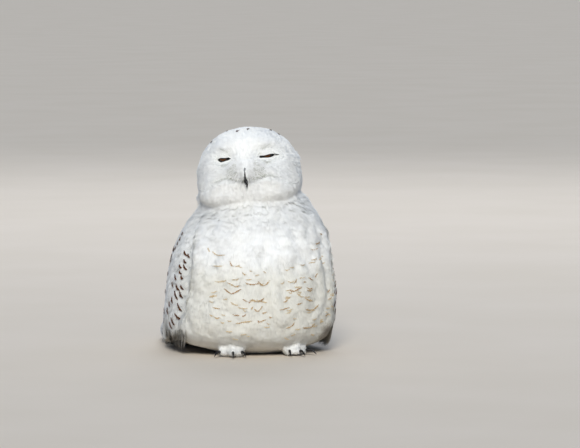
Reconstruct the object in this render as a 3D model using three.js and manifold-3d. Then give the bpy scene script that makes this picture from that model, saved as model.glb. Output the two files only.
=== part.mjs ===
// A snowy owl dozing on the ground, life size, in millimetres.
// +Z is up, the breast faces -Y and the ground is Z = 0, so the bird's own right side is at -X.
// The body is modelled whole, as level rings that take in the folded wings, and is parted by thin cuts into
// trunk, neck, wings and tail. The head is a ball with hollows and swellings, turned on the neck.
import * as THREE from "three";
import { mergeVertices } from "three/addons/utils/BufferGeometryUtils.js";
import Module from "manifold-3d";

const wasm = await Module();
wasm.setup();

// ---- Driving dimensions -------------------------------------------------------------------------------------

const GAP = 0.3; // clearance between neighbouring pieces
const FACET = 0.2; // how far a surface may shift where small facets are merged
const SWELL = 0.4; // how far a surface is swollen for a cut, so that its flat facets clear by the gap too
const FAR = 400; // reach of cutting tools, beyond every surface of the bird

// Level rings of the body with its folded wings: height above the ground, half width, reach forwards, reach back.
// taper narrows a ring towards the tail, square fills its rear corners (1 is a plain ellipse), and lean shifts it
// to the bird's left, as the shoulders lie under a turned head.
const BODY_RINGS = [
  { up: -26, half: 60, front: 16, back: 120, taper: 0.3, square: 0.6, lean: 0 },
  { up: 0, half: 112, front: 92, back: 254, taper: 0.24, square: 0.24, lean: 5 },
  { up: 22, half: 122, front: 108, back: 246, taper: 0.21, square: 0.24, lean: 1 },
  { up: 52, half: 130, front: 120, back: 202, taper: 0.32, square: 0.45, lean: 0 },
  { up: 88, half: 130, front: 125, back: 166, taper: 0.18, square: 0.72, lean: 2 },
  { up: 122, half: 125.5, front: 122, back: 142, taper: 0.06, square: 0.95, lean: 2 },
  { up: 158, half: 118, front: 113, back: 117, taper: 0, square: 1, lean: 3 },
  { up: 196, half: 104, front: 98, back: 91, taper: 0, square: 1, lean: 8 },
  { up: 220, half: 86, front: 84, back: 76, taper: 0, square: 1, lean: 8 },
  { up: 238, half: 79, front: 73, back: 66, taper: 0, square: 1, lean: 1 },
  { up: 258, half: 4, front: 4, back: 4, taper: 0, square: 1, lean: 0 },
];
const TRUNK_BALL = { x: 190, y: 180, z: 240, centre: [0, -20, 140] }; // rounds off the trunk's rear under the wings
const RING_SIDES = 28;
const RING_LEVELS = 24;
const BELLY = { tuck: 0.62, height: 40 }; // rounding of the belly towards the ground
const NECK_FLOOR = 211; // level of the cut between trunk and neck

const WING_THICKNESS = 10;
const WING_TUCK = { depth: 6, from: -0.12, to: -0.46 }; // the wing's front edge slips under the flank
// Side outline of a folded wing, as (y, z): down its front edge, along its lower edge to the tip.
const WING_FRONT = [[-26, 208], [-44, 176], [-55, 140], [-59, 105], [-56, 66], [-42, 38], [10, 20], [80, 9], [150, 3]];
const WING_TIP = [250, -1.5];
const WING_REAR = [[264, 34], [212, 104], [140, 172]];
const WING_TOP = [[94, 178], [60, 193], [20, 204]]; // its edge under the mantle, back to front
const WING_INNER = [[70, -90], [70, 40], [48, 84], [22, 122], [3, 160], [3, 184], [16, 214], [44, 256]]; // from above
const HAND_CUT = { y: 150, z: 40, rise: 0.27 }; // line between the arm of the wing and its long flight feathers

const TAIL = { start: [0, 118, 58], end: [0, 291, 2.2], halfRoot: 30, halfEnd: 50, rootThick: 13, endThick: 4.5 };

const HEAD = { x: -4, y: -12, z: 266, yaw: -18.5, roll: -5, side: 79, face: 75, nape: 79, crown: 76, chin: 49 };
const EYE = { x: 44, y: -58, z: 47, radius: 17, lid: 1.8, slitTilt: 2 };
const SLIT = { right: { wide: 21, tall: 6.6 }, left: { wide: 24, tall: 5.2 } }; // opening between the lids
const BILL_PATH = [[0, -50, 15], [0, -66, 14], [0, -77, 9], [0, -83.5, -1], [0, -84.5, -13]];
const LOWER_BILL_PATH = [[0, -50, 2], [0, -64, 1], [0, -74, -2], [0, -79, -6]];

const FOOT = { x: 42, y: -54, spread: 6 };
const TOE_RADIUS = 9.5;
// Toes, inner to hind: heading in degrees from straight ahead towards the outside, and length of the fleshy part.
const TOES = [
  { name: "inner", heading: -14, length: 40 },
  { name: "middle", heading: 6, length: 46 },
  { name: "outer", heading: 38, length: 37 },
  { name: "hind", heading: 172, length: 24 },
];
const CLAW = { length: 22, radius: 3.3, tip: 0.5, drop: 6.5 };

// ---- Materials ----------------------------------------------------------------------------------------------

const finish = (color, roughness, metalness = 0) => new THREE.MeshStandardMaterial({ color, roughness, metalness });
const PLUMAGE = finish("#eeefee", 0.92);
const FLIGHT = finish("#e4e6ea", 0.8);
const HORN = finish("#1c1b1d", 0.38);
const IRIS = finish("#6b3d0c", 0.08);

// ---- Tools for shapes ---------------------------------------------------------------------------------------

const point = ([x, y, z]) => new THREE.Vector3(x, y, z);

// A closed mesh as a manifold-3d solid.
function solid(geometry) {
  const bare = geometry.index ? geometry.toNonIndexed() : geometry.clone();
  bare.deleteAttribute("normal");
  bare.deleteAttribute("uv");
  const merged = mergeVertices(bare, 1e-4);
  const vertProperties = new Float32Array(merged.attributes.position.array);
  const triVerts = new Uint32Array(merged.index.array);
  return new wasm.Manifold(new wasm.Mesh({ numProp: 3, vertProperties, triVerts }));
}

// A closed mesh swollen a little along its own normals, for a cut that keeps its distance.
function swollen(geometry, by) {
  const bare = geometry.clone();
  bare.deleteAttribute("normal");
  bare.deleteAttribute("uv");
  const merged = mergeVertices(bare, 1e-4);
  merged.computeVertexNormals();
  const { position, normal } = merged.attributes;
  for (let i = 0; i < position.count; i++) {
    position.setXYZ(
      i,
      position.getX(i) + by * normal.getX(i),
      position.getY(i) + by * normal.getY(i),
      position.getZ(i) + by * normal.getZ(i),
    );
  }
  return merged;
}

// The solid back as a named three.js mesh. A cut can leave crumbs beside the piece, and only the piece is kept.
function piece(name, made, material) {
  const whole = made.decompose().sort((a, b) => b.volume() - a.volume())[0].simplify(FACET);
  const { vertProperties, triVerts } = whole.getMesh();
  const geometry = new THREE.BufferGeometry();
  geometry.setAttribute("position", new THREE.BufferAttribute(new Float32Array(vertProperties), 3));
  geometry.setIndex(new THREE.BufferAttribute(new Uint32Array(triVerts), 1));
  geometry.computeVertexNormals();
  const mesh = new THREE.Mesh(geometry, material);
  mesh.name = name;
  return mesh;
}

// A sphere whose points are moved: place gets the turn around the upright axis and the share of the way up.
function shapedBall(around, levels, place) {
  const ball = new THREE.SphereGeometry(1, around, levels).rotateX(Math.PI / 2);
  const at = ball.attributes.position;
  const direction = new THREE.Vector3();
  for (let i = 0; i < at.count; i++) {
    direction.fromBufferAttribute(at, i);
    const share = 1 - Math.acos(THREE.MathUtils.clamp(direction.z, -1, 1)) / Math.PI;
    const { x, y, z } = place(Math.atan2(direction.y, direction.x), share, direction);
    at.setXYZ(i, x, y, z);
  }
  return ball;
}

// One value of a row of stations, read at a share of the way along and smoothed between them.
function along(values, share) {
  const at = share * (values.length - 1);
  const i = Math.min(Math.floor(at), values.length - 2);
  const f = at - i;
  const [a, b, c, d] = [values[Math.max(i - 1, 0)], values[i], values[i + 1], values[Math.min(i + 2, values.length - 1)]];
  return b + 0.5 * f * (c - a + f * (2 * a - 5 * b + 4 * c - d + f * (3 * (b - c) + d - a)));
}

// The body as a stack of level rings. wall moves its sides and rear outwards, for a shell or a cut, and shape
// scales a ring at its height.
function ringed(wall = () => 0, shape = () => 1) {
  const read = (key, share) => along(BODY_RINGS.map((ring) => ring[key]), share);
  return shapedBall(RING_SIDES, RING_LEVELS, (turn, share) => {
    const [across, ahead] = [Math.cos(turn), Math.sin(turn)];
    const z = read("up", share);
    const open = share <= 0 || share >= 1 ? 0 : shape(z);
    const half = (read("half", share) + wall(ahead)) * open;
    const lean = read("lean", share);
    if (ahead <= 0) return { x: lean + half * across, y: read("front", share) * ahead * open, z };
    const back = (read("back", share) + wall(ahead)) * open;
    const narrowed = 1 - read("taper", share) * ahead ** 1.3;
    const fill = Math.abs(across) < 1e-9 ? 0 : Math.sign(across) * Math.abs(across) ** read("square", share);
    return { x: lean + half * narrowed * fill, y: back * ahead, z };
  });
}

// A tapering limb along a curve: girth gives the half width and the half thickness at a share of its length.
function limb(points, girth, around, steps, sideways = new THREE.Vector3(1, 0, 0)) {
  const path = new THREE.CatmullRomCurve3(points.map(point));
  return shapedBall(around, steps, (turn, share) => {
    const heading = path.getTangent(share);
    const across = sideways.clone().addScaledVector(heading, -sideways.dot(heading)).normalize();
    const over = across.clone().cross(heading);
    const [wide, thick] = girth(share);
    return path.getPoint(share).addScaledVector(across, wide * Math.cos(turn)).addScaledVector(over, -thick * Math.sin(turn));
  });
}

// Roundness of a limb's ends: 0 at the very end, 1 from a share of the length on.
const blunt = (share, from = 0.12, to = 0.12) =>
  Math.sqrt(1 - Math.max(0, 1 - share / from) ** 2) * Math.sqrt(1 - Math.max(0, 1 - (1 - share) / to) ** 2);

// A block over everything below a level.
function below(level) {
  return solid(new THREE.BoxGeometry(2 * FAR, 2 * FAR, FAR).translate(0, 0, level - FAR / 2));
}

const onGround = (made) => made.subtract(below(0));

// ---- Head, turned on the neck -------------------------------------------------------------------------------

// Swellings and hollows of the head: where they point, in the head's own frame, their spread and their rise.
const HEAD_FORMS = [
  { towards: [34, -52, 60], spread: 0.24, rise: 3.5 }, // brows
  { towards: [38, -62, 38], spread: 0.24, rise: -5.5 }, // hollows round the eyes
  { towards: [26, -66, -5], spread: 0.15, rise: -3.5 }, // crease under the facial disc
  { towards: [50, -52, 4], spread: 0.3, rise: 1.5 }, // outer discs
  { towards: [30, -62, -22], spread: 0.3, rise: 4 }, // ruff under the cheeks
];
const MIDLINE_FORMS = [
  { towards: [0, -70, 4], spread: 0.24, rise: 4.5 }, // bristles round the bill
  { towards: [0, -62, -26], spread: 0.26, rise: 3 }, // chin
  { towards: [0, -60, 44], spread: 0.3, rise: -1.5 }, // flat between the brows
];

function headReach(direction) {
  const { x, y, z } = direction;
  const power = THREE.MathUtils.lerp(1.95, 3.1, THREE.MathUtils.smoothstep(-z, -0.15, 0.4));
  const shares = [x / HEAD.side, y / (y < 0 ? HEAD.face : HEAD.nape), z / (z < 0 ? HEAD.chin : HEAD.crown)];
  let reach = shares.reduce((sum, share) => sum + Math.abs(share) ** power, 0) ** (-1 / power);
  const mirrored = HEAD_FORMS.map((form) => ({ ...form, towards: [-form.towards[0], ...form.towards.slice(1)] }));
  for (const form of [...HEAD_FORMS, ...mirrored, ...MIDLINE_FORMS]) {
    const away = direction.angleTo(point(form.towards));
    reach += form.rise * Math.exp(-((away / form.spread) ** 2));
  }
  return reach;
}

function headBall() {
  return shapedBall(34, 22, (turn, share, direction) => direction.clone().multiplyScalar(headReach(direction)));
}

// side is -1 for the bird's right and 1 for its left.
function eyeCentre(side) {
  const towards = point([side * EYE.x, EYE.y, EYE.z]).normalize();
  return towards.multiplyScalar(headReach(towards) - EYE.lid - EYE.radius);
}

// An almond opening between the lids, cut straight back to the eyeball.
function lidOpening(side) {
  const { wide, tall } = side < 0 ? SLIT.right : SLIT.left;
  const almond = new THREE.Shape();
  almond.moveTo(-wide / 2, 0);
  almond.quadraticCurveTo(0, tall * 0.75, wide / 2, 0);
  almond.quadraticCurveTo(0, -tall * 1.25, -wide / 2, 0);
  const centre = eyeCentre(side);
  const cut = new THREE.ExtrudeGeometry(almond, { depth: FAR / 4, bevelEnabled: false, curveSegments: 5 });
  cut.rotateX(Math.PI / 2).rotateY(THREE.MathUtils.degToRad(-EYE.slitTilt)).rotateZ(side * 0.28);
  return solid(cut.translate(centre.x, centre.y, centre.z));
}

const eyeball = (side, radius, around, levels) =>
  solid(new THREE.SphereGeometry(radius, around, levels).translate(...eyeCentre(side)));

function billSolid(path, root, middle, swell = 0) {
  const girth = (share) => {
    const size = THREE.MathUtils.lerp(root, middle, share) * blunt(share, 0.05, 0.75);
    return [size * 0.92, size];
  };
  return solid(swollen(limb(path, girth, 8, 10), swell));
}

function makeHead() {
  const group = new THREE.Group();
  group.position.set(HEAD.x, HEAD.y, HEAD.z);
  group.rotation.set(0, THREE.MathUtils.degToRad(HEAD.roll), THREE.MathUtils.degToRad(HEAD.yaw), "ZYX");
  let skull = solid(headBall());
  for (const side of [-1, 1]) {
    skull = skull.subtract(eyeball(side, EYE.radius + GAP, 12, 9)).subtract(lidOpening(side));
    const name = side < 0 ? "eye_right" : "eye_left";
    group.add(piece(name, eyeball(side, EYE.radius, 12, 9), IRIS));
  }
  const upper = billSolid(BILL_PATH, 7.5, 5.2);
  const lower = billSolid(LOWER_BILL_PATH, 5.5, 4.2).subtract(billSolid(BILL_PATH, 7.5, 5.2, SWELL));
  skull = skull.subtract(billSolid(BILL_PATH, 7.5, 5.2, SWELL)).subtract(billSolid(LOWER_BILL_PATH, 5.5, 4.2, SWELL));
  group.add(piece("head", skull, PLUMAGE), piece("bill_upper", upper, HORN), piece("bill_lower", lower, HORN));
  group.updateMatrixWorld(true);
  return group;
}

// The head as one block in the bird's frame, for cutting the neck to it.
const headBlock = (group) => solid(swollen(headBall(), SWELL).applyMatrix4(group.matrixWorld));

// ---- Wings --------------------------------------------------------------------------------------------------

// An outline moved outwards all round, for a cut that keeps its distance.
function widened(outline, by) {
  return outline.map((at, i) => {
    const before = outline[(i + outline.length - 1) % outline.length];
    const after = outline[(i + 1) % outline.length];
    const heading = after.clone().sub(before).normalize();
    return at.clone().add(new THREE.Vector2(heading.y, -heading.x).multiplyScalar(by));
  });
}

function prism(points, grow, depth) {
  const clockwise = THREE.ShapeUtils.isClockWise(points);
  const outline = widened(clockwise ? [...points].reverse() : points, grow);
  return new THREE.ExtrudeGeometry(new THREE.Shape(outline), { depth, bevelEnabled: false });
}

function sideOutline() {
  const edge = new THREE.Path();
  const all = [...WING_FRONT, WING_TIP].map(([y, z]) => new THREE.Vector2(y, z));
  edge.moveTo(all[0].x, all[0].y);
  edge.splineThru(all.slice(1));
  return [...edge.getSpacedPoints(16), ...[...WING_REAR, ...WING_TOP].map(([y, z]) => new THREE.Vector2(y, z))];
}

const innerEdge = () => WING_INNER.map(([x, y]) => new THREE.Vector2(x, y));

// The space that a wing takes: between the body's wall and an inner wall, inside its side and top outlines.
function wingSpace(side, grow) {
  const tuck = (ahead) => -WING_TUCK.depth * THREE.MathUtils.smoothstep(-ahead, -WING_TUCK.from, -WING_TUCK.to);
  const outer = ringed(grow ? () => WING_THICKNESS : tuck);
  const inner = ringed((ahead) => tuck(ahead) - WING_THICKNESS - grow);
  const fromSide = prism(sideOutline(), grow, FAR).rotateX(Math.PI / 2).rotateZ(Math.PI / 2);
  const topOutline = [...innerEdge(), new THREE.Vector2(FAR / 2, 264), new THREE.Vector2(FAR / 2, -90)];
  const fromTop = prism(topOutline, grow, FAR).translate(0, 0, -FAR / 4);
  const outline = solid(fromSide).intersect(solid(fromTop));
  return solid(outer).subtract(solid(inner)).intersect(side > 0 ? outline : outline.mirror([1, 0, 0]));
}

// Everything under a leaning plane across the wing, lowered by a shift.
function underHandCut(shift) {
  const block = new THREE.BoxGeometry(2 * FAR, 2 * FAR, FAR).translate(0, 0, -FAR / 2 - shift);
  return solid(block.rotateX(HAND_CUT.rise).translate(0, HAND_CUT.y, HAND_CUT.z));
}

function makeWing(side) {
  const name = side < 0 ? "right" : "left";
  const whole = onGround(wingSpace(side, 0)).subtract(tailSolid(SWELL));
  const arm = piece("wing_" + name, whole.subtract(underHandCut(-GAP / 2)), PLUMAGE);
  const hand = piece("primaries_" + name, whole.intersect(underHandCut(GAP / 2)), FLIGHT);
  return [arm, hand];
}

// ---- Tail ---------------------------------------------------------------------------------------------------

function tailSolid(swell = 0) {
  const middle = TAIL.start.map((value, i) => (value + TAIL.end[i]) / 2 - (i === 2 ? 2 : 0));
  const girth = (share) => {
    const wide = THREE.MathUtils.lerp(TAIL.halfRoot, TAIL.halfEnd, Math.min(1, share * 1.2));
    const thick = THREE.MathUtils.lerp(TAIL.rootThick, TAIL.endThick, share);
    return [wide * blunt(share, 0.06, 0.2), thick * blunt(share, 0.06, 0.04)];
  };
  return onGround(solid(swollen(limb([TAIL.start, middle, TAIL.end], girth, 14, 10), swell)));
}

// ---- Feet ---------------------------------------------------------------------------------------------------

// The line of a toe, from under the ankle to its end, with the heading given towards the bird's outside.
function toeLine(side, toe) {
  const heading = THREE.MathUtils.degToRad(toe.heading + FOOT.spread);
  const ahead = new THREE.Vector3(side * Math.sin(heading), -Math.cos(heading), 0);
  const start = new THREE.Vector3(side * FOOT.x, FOOT.y, TOE_RADIUS);
  return (distance, up) => start.clone().addScaledVector(ahead, distance).setZ(up).toArray();
}

// The level direction across a toe.
function sidewaysOf(side, toe) {
  const heading = THREE.MathUtils.degToRad(toe.heading + FOOT.spread);
  return new THREE.Vector3(Math.cos(heading), side * Math.sin(heading), 0);
}

function toeSolid(side, toe, swell = 0) {
  const at = toeLine(side, toe);
  const path = [at(-6, 12), at(toe.length * 0.45, 9), at(toe.length, 6.2)];
  const girth = (share) => {
    const size = THREE.MathUtils.lerp(TOE_RADIUS * 1.15, TOE_RADIUS * 0.78, share) * blunt(share, 0.2, 0.22);
    return [size, size * 1.06];
  };
  return solid(swollen(limb(path, girth, 8, 6, sidewaysOf(side, toe)), swell));
}

function footSolid(side, swell = 0) {
  return onGround(TOES.map((toe) => toeSolid(side, toe, swell)).reduce((sum, made) => sum.add(made)));
}

function clawSolid(side, toe, swell = 0) {
  const at = toeLine(side, toe);
  const from = toe.length - 5;
  const path = [at(from, 8), at(from + CLAW.length * 0.55, CLAW.drop + 2), at(from + CLAW.length, 1.2)];
  const girth = (share) => {
    const size = THREE.MathUtils.lerp(CLAW.radius, CLAW.tip, share) * blunt(share, 0.1, 0.08);
    return [size * 0.85, size];
  };
  return onGround(solid(swollen(limb(path, girth, 6, 5, sidewaysOf(side, toe)), swell)));
}

function legSolid(side, swell = 0) {
  const path = [[side * 40, -58, 56], [side * 41, -70, 38], [side * FOOT.x, FOOT.y, 21]];
  const girth = (share) => {
    const size = THREE.MathUtils.lerp(19, 13.5, share) * blunt(share, 0.2, 0.2);
    return [size, size];
  };
  return solid(swollen(limb(path, girth, 9, 5), swell));
}

function makeLeg(side) {
  const name = side < 0 ? "right" : "left";
  const claws = TOES.map((toe) => piece("claw_" + name + "_" + toe.name, clawSolid(side, toe), HORN));
  let foot = footSolid(side);
  for (const toe of TOES) foot = foot.subtract(clawSolid(side, toe, SWELL));
  const leg = legSolid(side).subtract(footSolid(side, SWELL));
  return [piece("foot_" + name, foot, PLUMAGE), piece("leg_" + name, leg, PLUMAGE), ...claws];
}

// The space that a leg with its foot and claws takes out of the trunk.
function legSpace(side) {
  const claws = TOES.map((toe) => clawSolid(side, toe, SWELL));
  return claws.reduce((sum, claw) => sum.add(claw), footSolid(side, SWELL).add(legSolid(side, SWELL)));
}

// ---- Trunk and neck -----------------------------------------------------------------------------------------

function makeTrunk() {
  const tucked = (z) => 1 - BELLY.tuck * Math.max(0, 1 - Math.max(z, 0) / BELLY.height) ** 3;
  const ball = new THREE.SphereGeometry(1, 22, 14).scale(TRUNK_BALL.x, TRUNK_BALL.y, TRUNK_BALL.z);
  let trunk = onGround(solid(ringed(() => 0, tucked))).intersect(below(NECK_FLOOR));
  trunk = trunk.intersect(solid(ball.translate(...TRUNK_BALL.centre)));
  for (const side of [-1, 1]) trunk = trunk.subtract(wingSpace(side, GAP)).subtract(legSpace(side));
  return piece("trunk", trunk.subtract(tailSolid(SWELL)), PLUMAGE);
}

function makeNeck(headGroup) {
  const neck = solid(ringed()).subtract(below(NECK_FLOOR + GAP)).subtract(headBlock(headGroup));
  return piece("neck", neck, PLUMAGE);
}

// ---- The owl ------------------------------------------------------------------------------------------------

const owl = new THREE.Group();
const head = makeHead();
owl.add(head, makeNeck(head), makeTrunk());
for (const side of [-1, 1]) owl.add(...makeWing(side), ...makeLeg(side));
owl.add(piece("tail", tailSolid(), FLIGHT));

// The origin is on the ground under the middle of the bird.
const middle = new THREE.Box3().setFromObject(owl, true).getCenter(new THREE.Vector3());
owl.position.set(-middle.x, -middle.y, 0);

export default owl;
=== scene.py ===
"""A snowy owl dozing on the ground: skin, eyes, bill, claws and a coat of feathers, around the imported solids.

Lengths are metres. +Z is up, the breast faces -Y, and the bird's own right side is at -X.
"""

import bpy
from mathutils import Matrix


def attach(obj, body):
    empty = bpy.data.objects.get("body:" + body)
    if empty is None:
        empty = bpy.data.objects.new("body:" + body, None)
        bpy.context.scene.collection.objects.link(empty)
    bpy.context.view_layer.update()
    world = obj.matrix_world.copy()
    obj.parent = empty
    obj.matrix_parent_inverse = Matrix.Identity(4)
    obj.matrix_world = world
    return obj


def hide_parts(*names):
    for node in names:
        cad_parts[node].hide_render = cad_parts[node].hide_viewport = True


bl_info = {
    "name": "Snowy Owl",
    "version": (1, 0, 0),
    "blender": (4, 5, 0),
    "location": "3D View > Sidebar > Owl",
    "description": "Builds the skin, eyes, bill, claws and plumage of a snowy owl",
    "category": "Add Mesh",
}

import math

import bmesh
import bpy
import numpy as np
from mathutils import Euler, Vector
from mathutils.bvhtree import BVHTree

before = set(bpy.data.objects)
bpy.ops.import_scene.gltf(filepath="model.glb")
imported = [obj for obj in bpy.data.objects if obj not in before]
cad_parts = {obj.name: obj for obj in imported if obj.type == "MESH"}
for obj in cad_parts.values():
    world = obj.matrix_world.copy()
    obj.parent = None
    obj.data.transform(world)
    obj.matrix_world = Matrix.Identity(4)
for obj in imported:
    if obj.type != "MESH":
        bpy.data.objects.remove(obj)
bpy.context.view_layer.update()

MM = 0.001
SIDES = {"right": -1, "left": 1}
TOES = ("inner", "middle", "outer", "hind")
FLESH = ["head", "neck", "trunk", "tail"] + [
    part + "_" + side for side in SIDES for part in ("wing", "primaries", "leg", "foot")
]

# The head's own frame: its centre, and its turn and tilt on the neck.
HEAD_CENTRE = np.array((-4.92, -94.98, 266.0)) * MM
HEAD_TURN = np.array(Euler((0, math.radians(-5), math.radians(-18.5)), "XYZ").to_matrix())
BODY_AXIS_Y = -83 * MM

# Lid openings, from the inner corner (0) to the outer (1): height above and below the line between the
# corners, in mm.
SLITS = {
    "right": {
        "half": 10.0,
        "shift": 0.0,
        "at": (0, 0.06, 0.12, 0.2, 0.38, 0.55, 0.75, 0.88, 1),
        "up": (0, 1.3, 1.8, 1.5, 1.4, 1.9, 2.3, 1.5, 0),
        "down": (0, 1.3, 1.5, 1.5, 2.2, 2.9, 3.5, 1.9, 0),
    },
    "left": {
        "half": 15.75,
        "shift": 3.75,
        "at": (0, 0.053, 0.178, 0.329, 0.462, 0.596, 0.73, 0.86, 1),
        "up": (0, 1.5, 0.3, 0.7, 1.4, 1.7, 1.0, 0.25, 0),
        "down": (0, 1.7, 1.3, 2.0, 2.5, 2.1, 1.1, 0.25, 0),
    },
}

# The main view, which the camera takes and in which the visible marks are placed.
VIEW_AIM = np.array((0.05704, -0.09853, 0.192))
VIEW_AZIMUTH, VIEW_ELEVATION = math.radians(-15), math.radians(4)
VIEW_DISTANCE = 6.0
VIEW_LENS, VIEW_SENSOR = 248, 36
VIEW_WIDE, VIEW_TALL = 580, 448
VIEW_MIDDLE = (250, 250)  # a place in the view well inside the bird
VIEW_SHARES = np.linspace(0, 0.3, 61)  # how far a place beside the bird may move towards it

# Brown bars of the belly: both ends across and down an enlarged part of the main view, and strength.
BARS_CORNER, BARS_ENLARGED = (150, 200), 7.84
BELLY_BARS = (
    (455, 370, 470, 405, 0.35), (490, 400, 530, 430, 0.3), (520, 430, 590, 430, 0.25),
    (625, 480, 650, 520, 0.7),
    (670, 520, 705, 510, 0.5), (495, 515, 570, 515, 0.25), (725, 565, 755, 585, 0.6),
    (780, 545, 800, 560, 0.4),
    (645, 625, 700, 615, 0.6), (515, 638, 580, 638, 0.25), (610, 645, 660, 672, 0.5),
    (660, 675, 705, 668, 0.6),
    (750, 645, 770, 655, 0.9), (770, 655, 830, 658, 0.9), (830, 658, 850, 640, 0.9),
    (850, 640, 890, 670, 0.9),
    (890, 670, 940, 630, 0.6), (585, 692, 640, 735, 0.8), (640, 735, 715, 695, 0.9),
    (730, 775, 760, 790, 0.9),
    (775, 800, 805, 775, 0.9), (805, 775, 840, 795, 0.8), (840, 795, 890, 770, 0.9),
    (635, 800, 690, 825, 0.4),
    (495, 838, 545, 850, 0.6), (790, 850, 810, 835, 0.5), (820, 855, 845, 870, 0.8),
    (845, 870, 880, 830, 0.7),
    (720, 848, 765, 848, 0.4), (650, 895, 700, 902, 0.9), (725, 910, 750, 895, 0.8),
    (470, 895, 500, 908, 0.4),
    (505, 915, 550, 922, 0.6), (880, 885, 915, 875, 0.7), (935, 912, 955, 918, 0.6),
    (845, 942, 870, 950, 0.9),
    (870, 950, 905, 935, 0.8), (675, 965, 720, 955, 0.6), (720, 955, 800, 945, 0.5),
    (610, 945, 640, 945, 0.3),
    (1260, 385, 1310, 378, 0.7), (1295, 345, 1325, 330, 0.8), (1330, 260, 1345, 265, 0.7),
    (1265, 470, 1305, 455, 0.5),
    (1340, 435, 1355, 440, 0.4), (1175, 510, 1210, 505, 0.4), (1130, 650, 1145, 620, 0.7),
    (1200, 640, 1220, 640, 0.8),
    (1240, 605, 1275, 628, 0.8), (1290, 600, 1310, 575, 0.7), (1095, 700, 1125, 715, 0.9),
    (1125, 715, 1190, 680, 0.8),
    (1230, 685, 1270, 690, 0.7), (1230, 705, 1270, 702, 0.8), (1045, 800, 1080, 780, 0.7),
    (1150, 815, 1190, 800, 0.7),
    (1210, 765, 1270, 790, 0.5), (1015, 858, 1085, 843, 0.8), (1220, 855, 1270, 862, 0.7),
    (1270, 862, 1320, 820, 0.6),
    (1385, 720, 1405, 700, 0.8), (1395, 775, 1420, 760, 0.7), (1375, 905, 1395, 885, 0.7),
    (1070, 1000, 1110, 985, 0.6),
    (1110, 985, 1130, 960, 0.6), (1200, 998, 1240, 998, 0.8), (1240, 998, 1285, 975, 0.8),
    (1025, 655, 1050, 640, 0.4),
    (1150, 730, 1200, 760, 0.3),
)
# Dark spots of the right wing: across and down the main view, and length in mm.
WING_SPOTS = (
    (183, 233.5, 4), (180.6, 238.7, 5), (178, 243.4, 4), (176, 248, 4), (174.4, 250, 4), (172, 256, 5),
    (171, 260, 5), (186, 253, 8), (189.4, 255.5, 6), (185.6, 261, 6), (185.7, 267, 9), (181, 266, 6),
    (181, 272, 6), (182.5, 277, 5), (176, 277, 8), (173, 284, 6), (178, 287, 11), (182.5, 287, 7),
    (176.5, 295, 12), (181.7, 294.6, 9), (172.6, 300, 8), (170, 304, 6), (168, 310.6, 8), (180, 307, 12),
    (178, 316, 13), (173, 321, 11), (171, 325, 9), (164.5, 328, 9), (162.6, 331, 8),
)
# Dark spots of the crown: across and down the main view, and for those behind, x and y of the head's frame
# in mm.
CROWN_SPOTS = ((247.6, 129.7), (237, 131.5), (211.7, 142.2), (270.6, 129.7), (278.2, 134.2))
CROWN_SPOTS_BEHIND = ((-28, -4), (14, 8), (-8, 22), (30, 24))


# ---- Small tools ---------------------------------------------------------------------------------


def linear(code):
    """An sRGB hex colour as linear RGBA."""
    parts = [int(code[i : i + 2], 16) / 255 for i in (1, 3, 5)]
    return tuple(c / 12.92 if c <= 0.04045 else ((c + 0.055) / 1.055) ** 2.4 for c in parts) + (1.0,)


def unit(vectors):
    return vectors / np.maximum(np.linalg.norm(vectors, axis=-1, keepdims=True), 1e-12)


def smoothstep(value, low, high):
    t = np.clip((value - low) / (high - low), 0, 1)
    return t * t * (3 - 2 * t)


def waves(points, size, seed, count=9):
    """Smooth noise from -1 to 1, as a sum of plane waves about one size long."""
    rng = np.random.default_rng(seed)
    total = np.zeros(points.shape[:-1])
    for _ in range(count):
        heading = unit(rng.normal(size=3)) * (2 * math.pi / size) * rng.uniform(0.7, 1.4)
        total += np.sin(points @ heading + rng.uniform(0, 2 * math.pi))
    return total / math.sqrt(count / 2) / 1.6


def to_head(points):
    """Row coordinates as the head's own, in mm: x to the bird's left, y to its nape, z to its crown."""
    return (points - HEAD_CENTRE) @ HEAD_TURN / MM


def from_head(points):
    return np.asarray(points, float) * MM @ HEAD_TURN.T + HEAD_CENTRE


def object_from(name, points, faces, smooth=True):
    mesh = bpy.data.meshes.new(name)
    if isinstance(faces, np.ndarray):
        count, corners = faces.shape
        mesh.vertices.add(len(points))
        mesh.vertices.foreach_set("co", np.asarray(points, np.float32).ravel())
        mesh.loops.add(count * corners)
        mesh.loops.foreach_set("vertex_index", faces.astype(np.int32).ravel())
        mesh.polygons.add(count)
        mesh.polygons.foreach_set("loop_start", np.arange(0, count * corners, corners, dtype=np.int32))
        mesh.polygons.foreach_set("use_smooth", np.full(count, smooth))
        mesh.update(calc_edges=True)
    else:
        mesh.from_pydata([tuple(p) for p in points], [], faces)
        mesh.polygons.foreach_set("use_smooth", [smooth] * len(mesh.polygons))
    made = bpy.data.objects.new(name, mesh)
    bpy.context.scene.collection.objects.link(made)
    return made


def points_of(mesh, kind="vertices", key="co"):
    items = getattr(mesh, kind)
    values = np.zeros(len(items) * 3, np.float32)
    items.foreach_get(key, values)
    return values.reshape(-1, 3).astype(float)


def put_attribute(mesh, name, values):
    layer = mesh.attributes.new(name, "FLOAT", "POINT")
    layer.data.foreach_set("value", np.asarray(values, np.float32).ravel())


def finish_piece(piece, material, nodes=()):
    piece.data.materials.clear()
    piece.data.materials.append(material)
    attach(piece, "root")
    if nodes:
        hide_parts(*nodes)
    return piece


def evaluated(made, *modifiers):
    """The object with some modifiers applied, as (type, settings)."""
    for kind, settings in modifiers:
        modifier = made.modifiers.new(kind.title(), kind)
        for key, value in settings.items():
            setattr(modifier, key, value)
    depsgraph = bpy.context.evaluated_depsgraph_get()
    mesh = bpy.data.meshes.new_from_object(made.evaluated_get(depsgraph))
    made.modifiers.clear()
    old, made.data = made.data, mesh
    bpy.data.meshes.remove(old)
    return made


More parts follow.
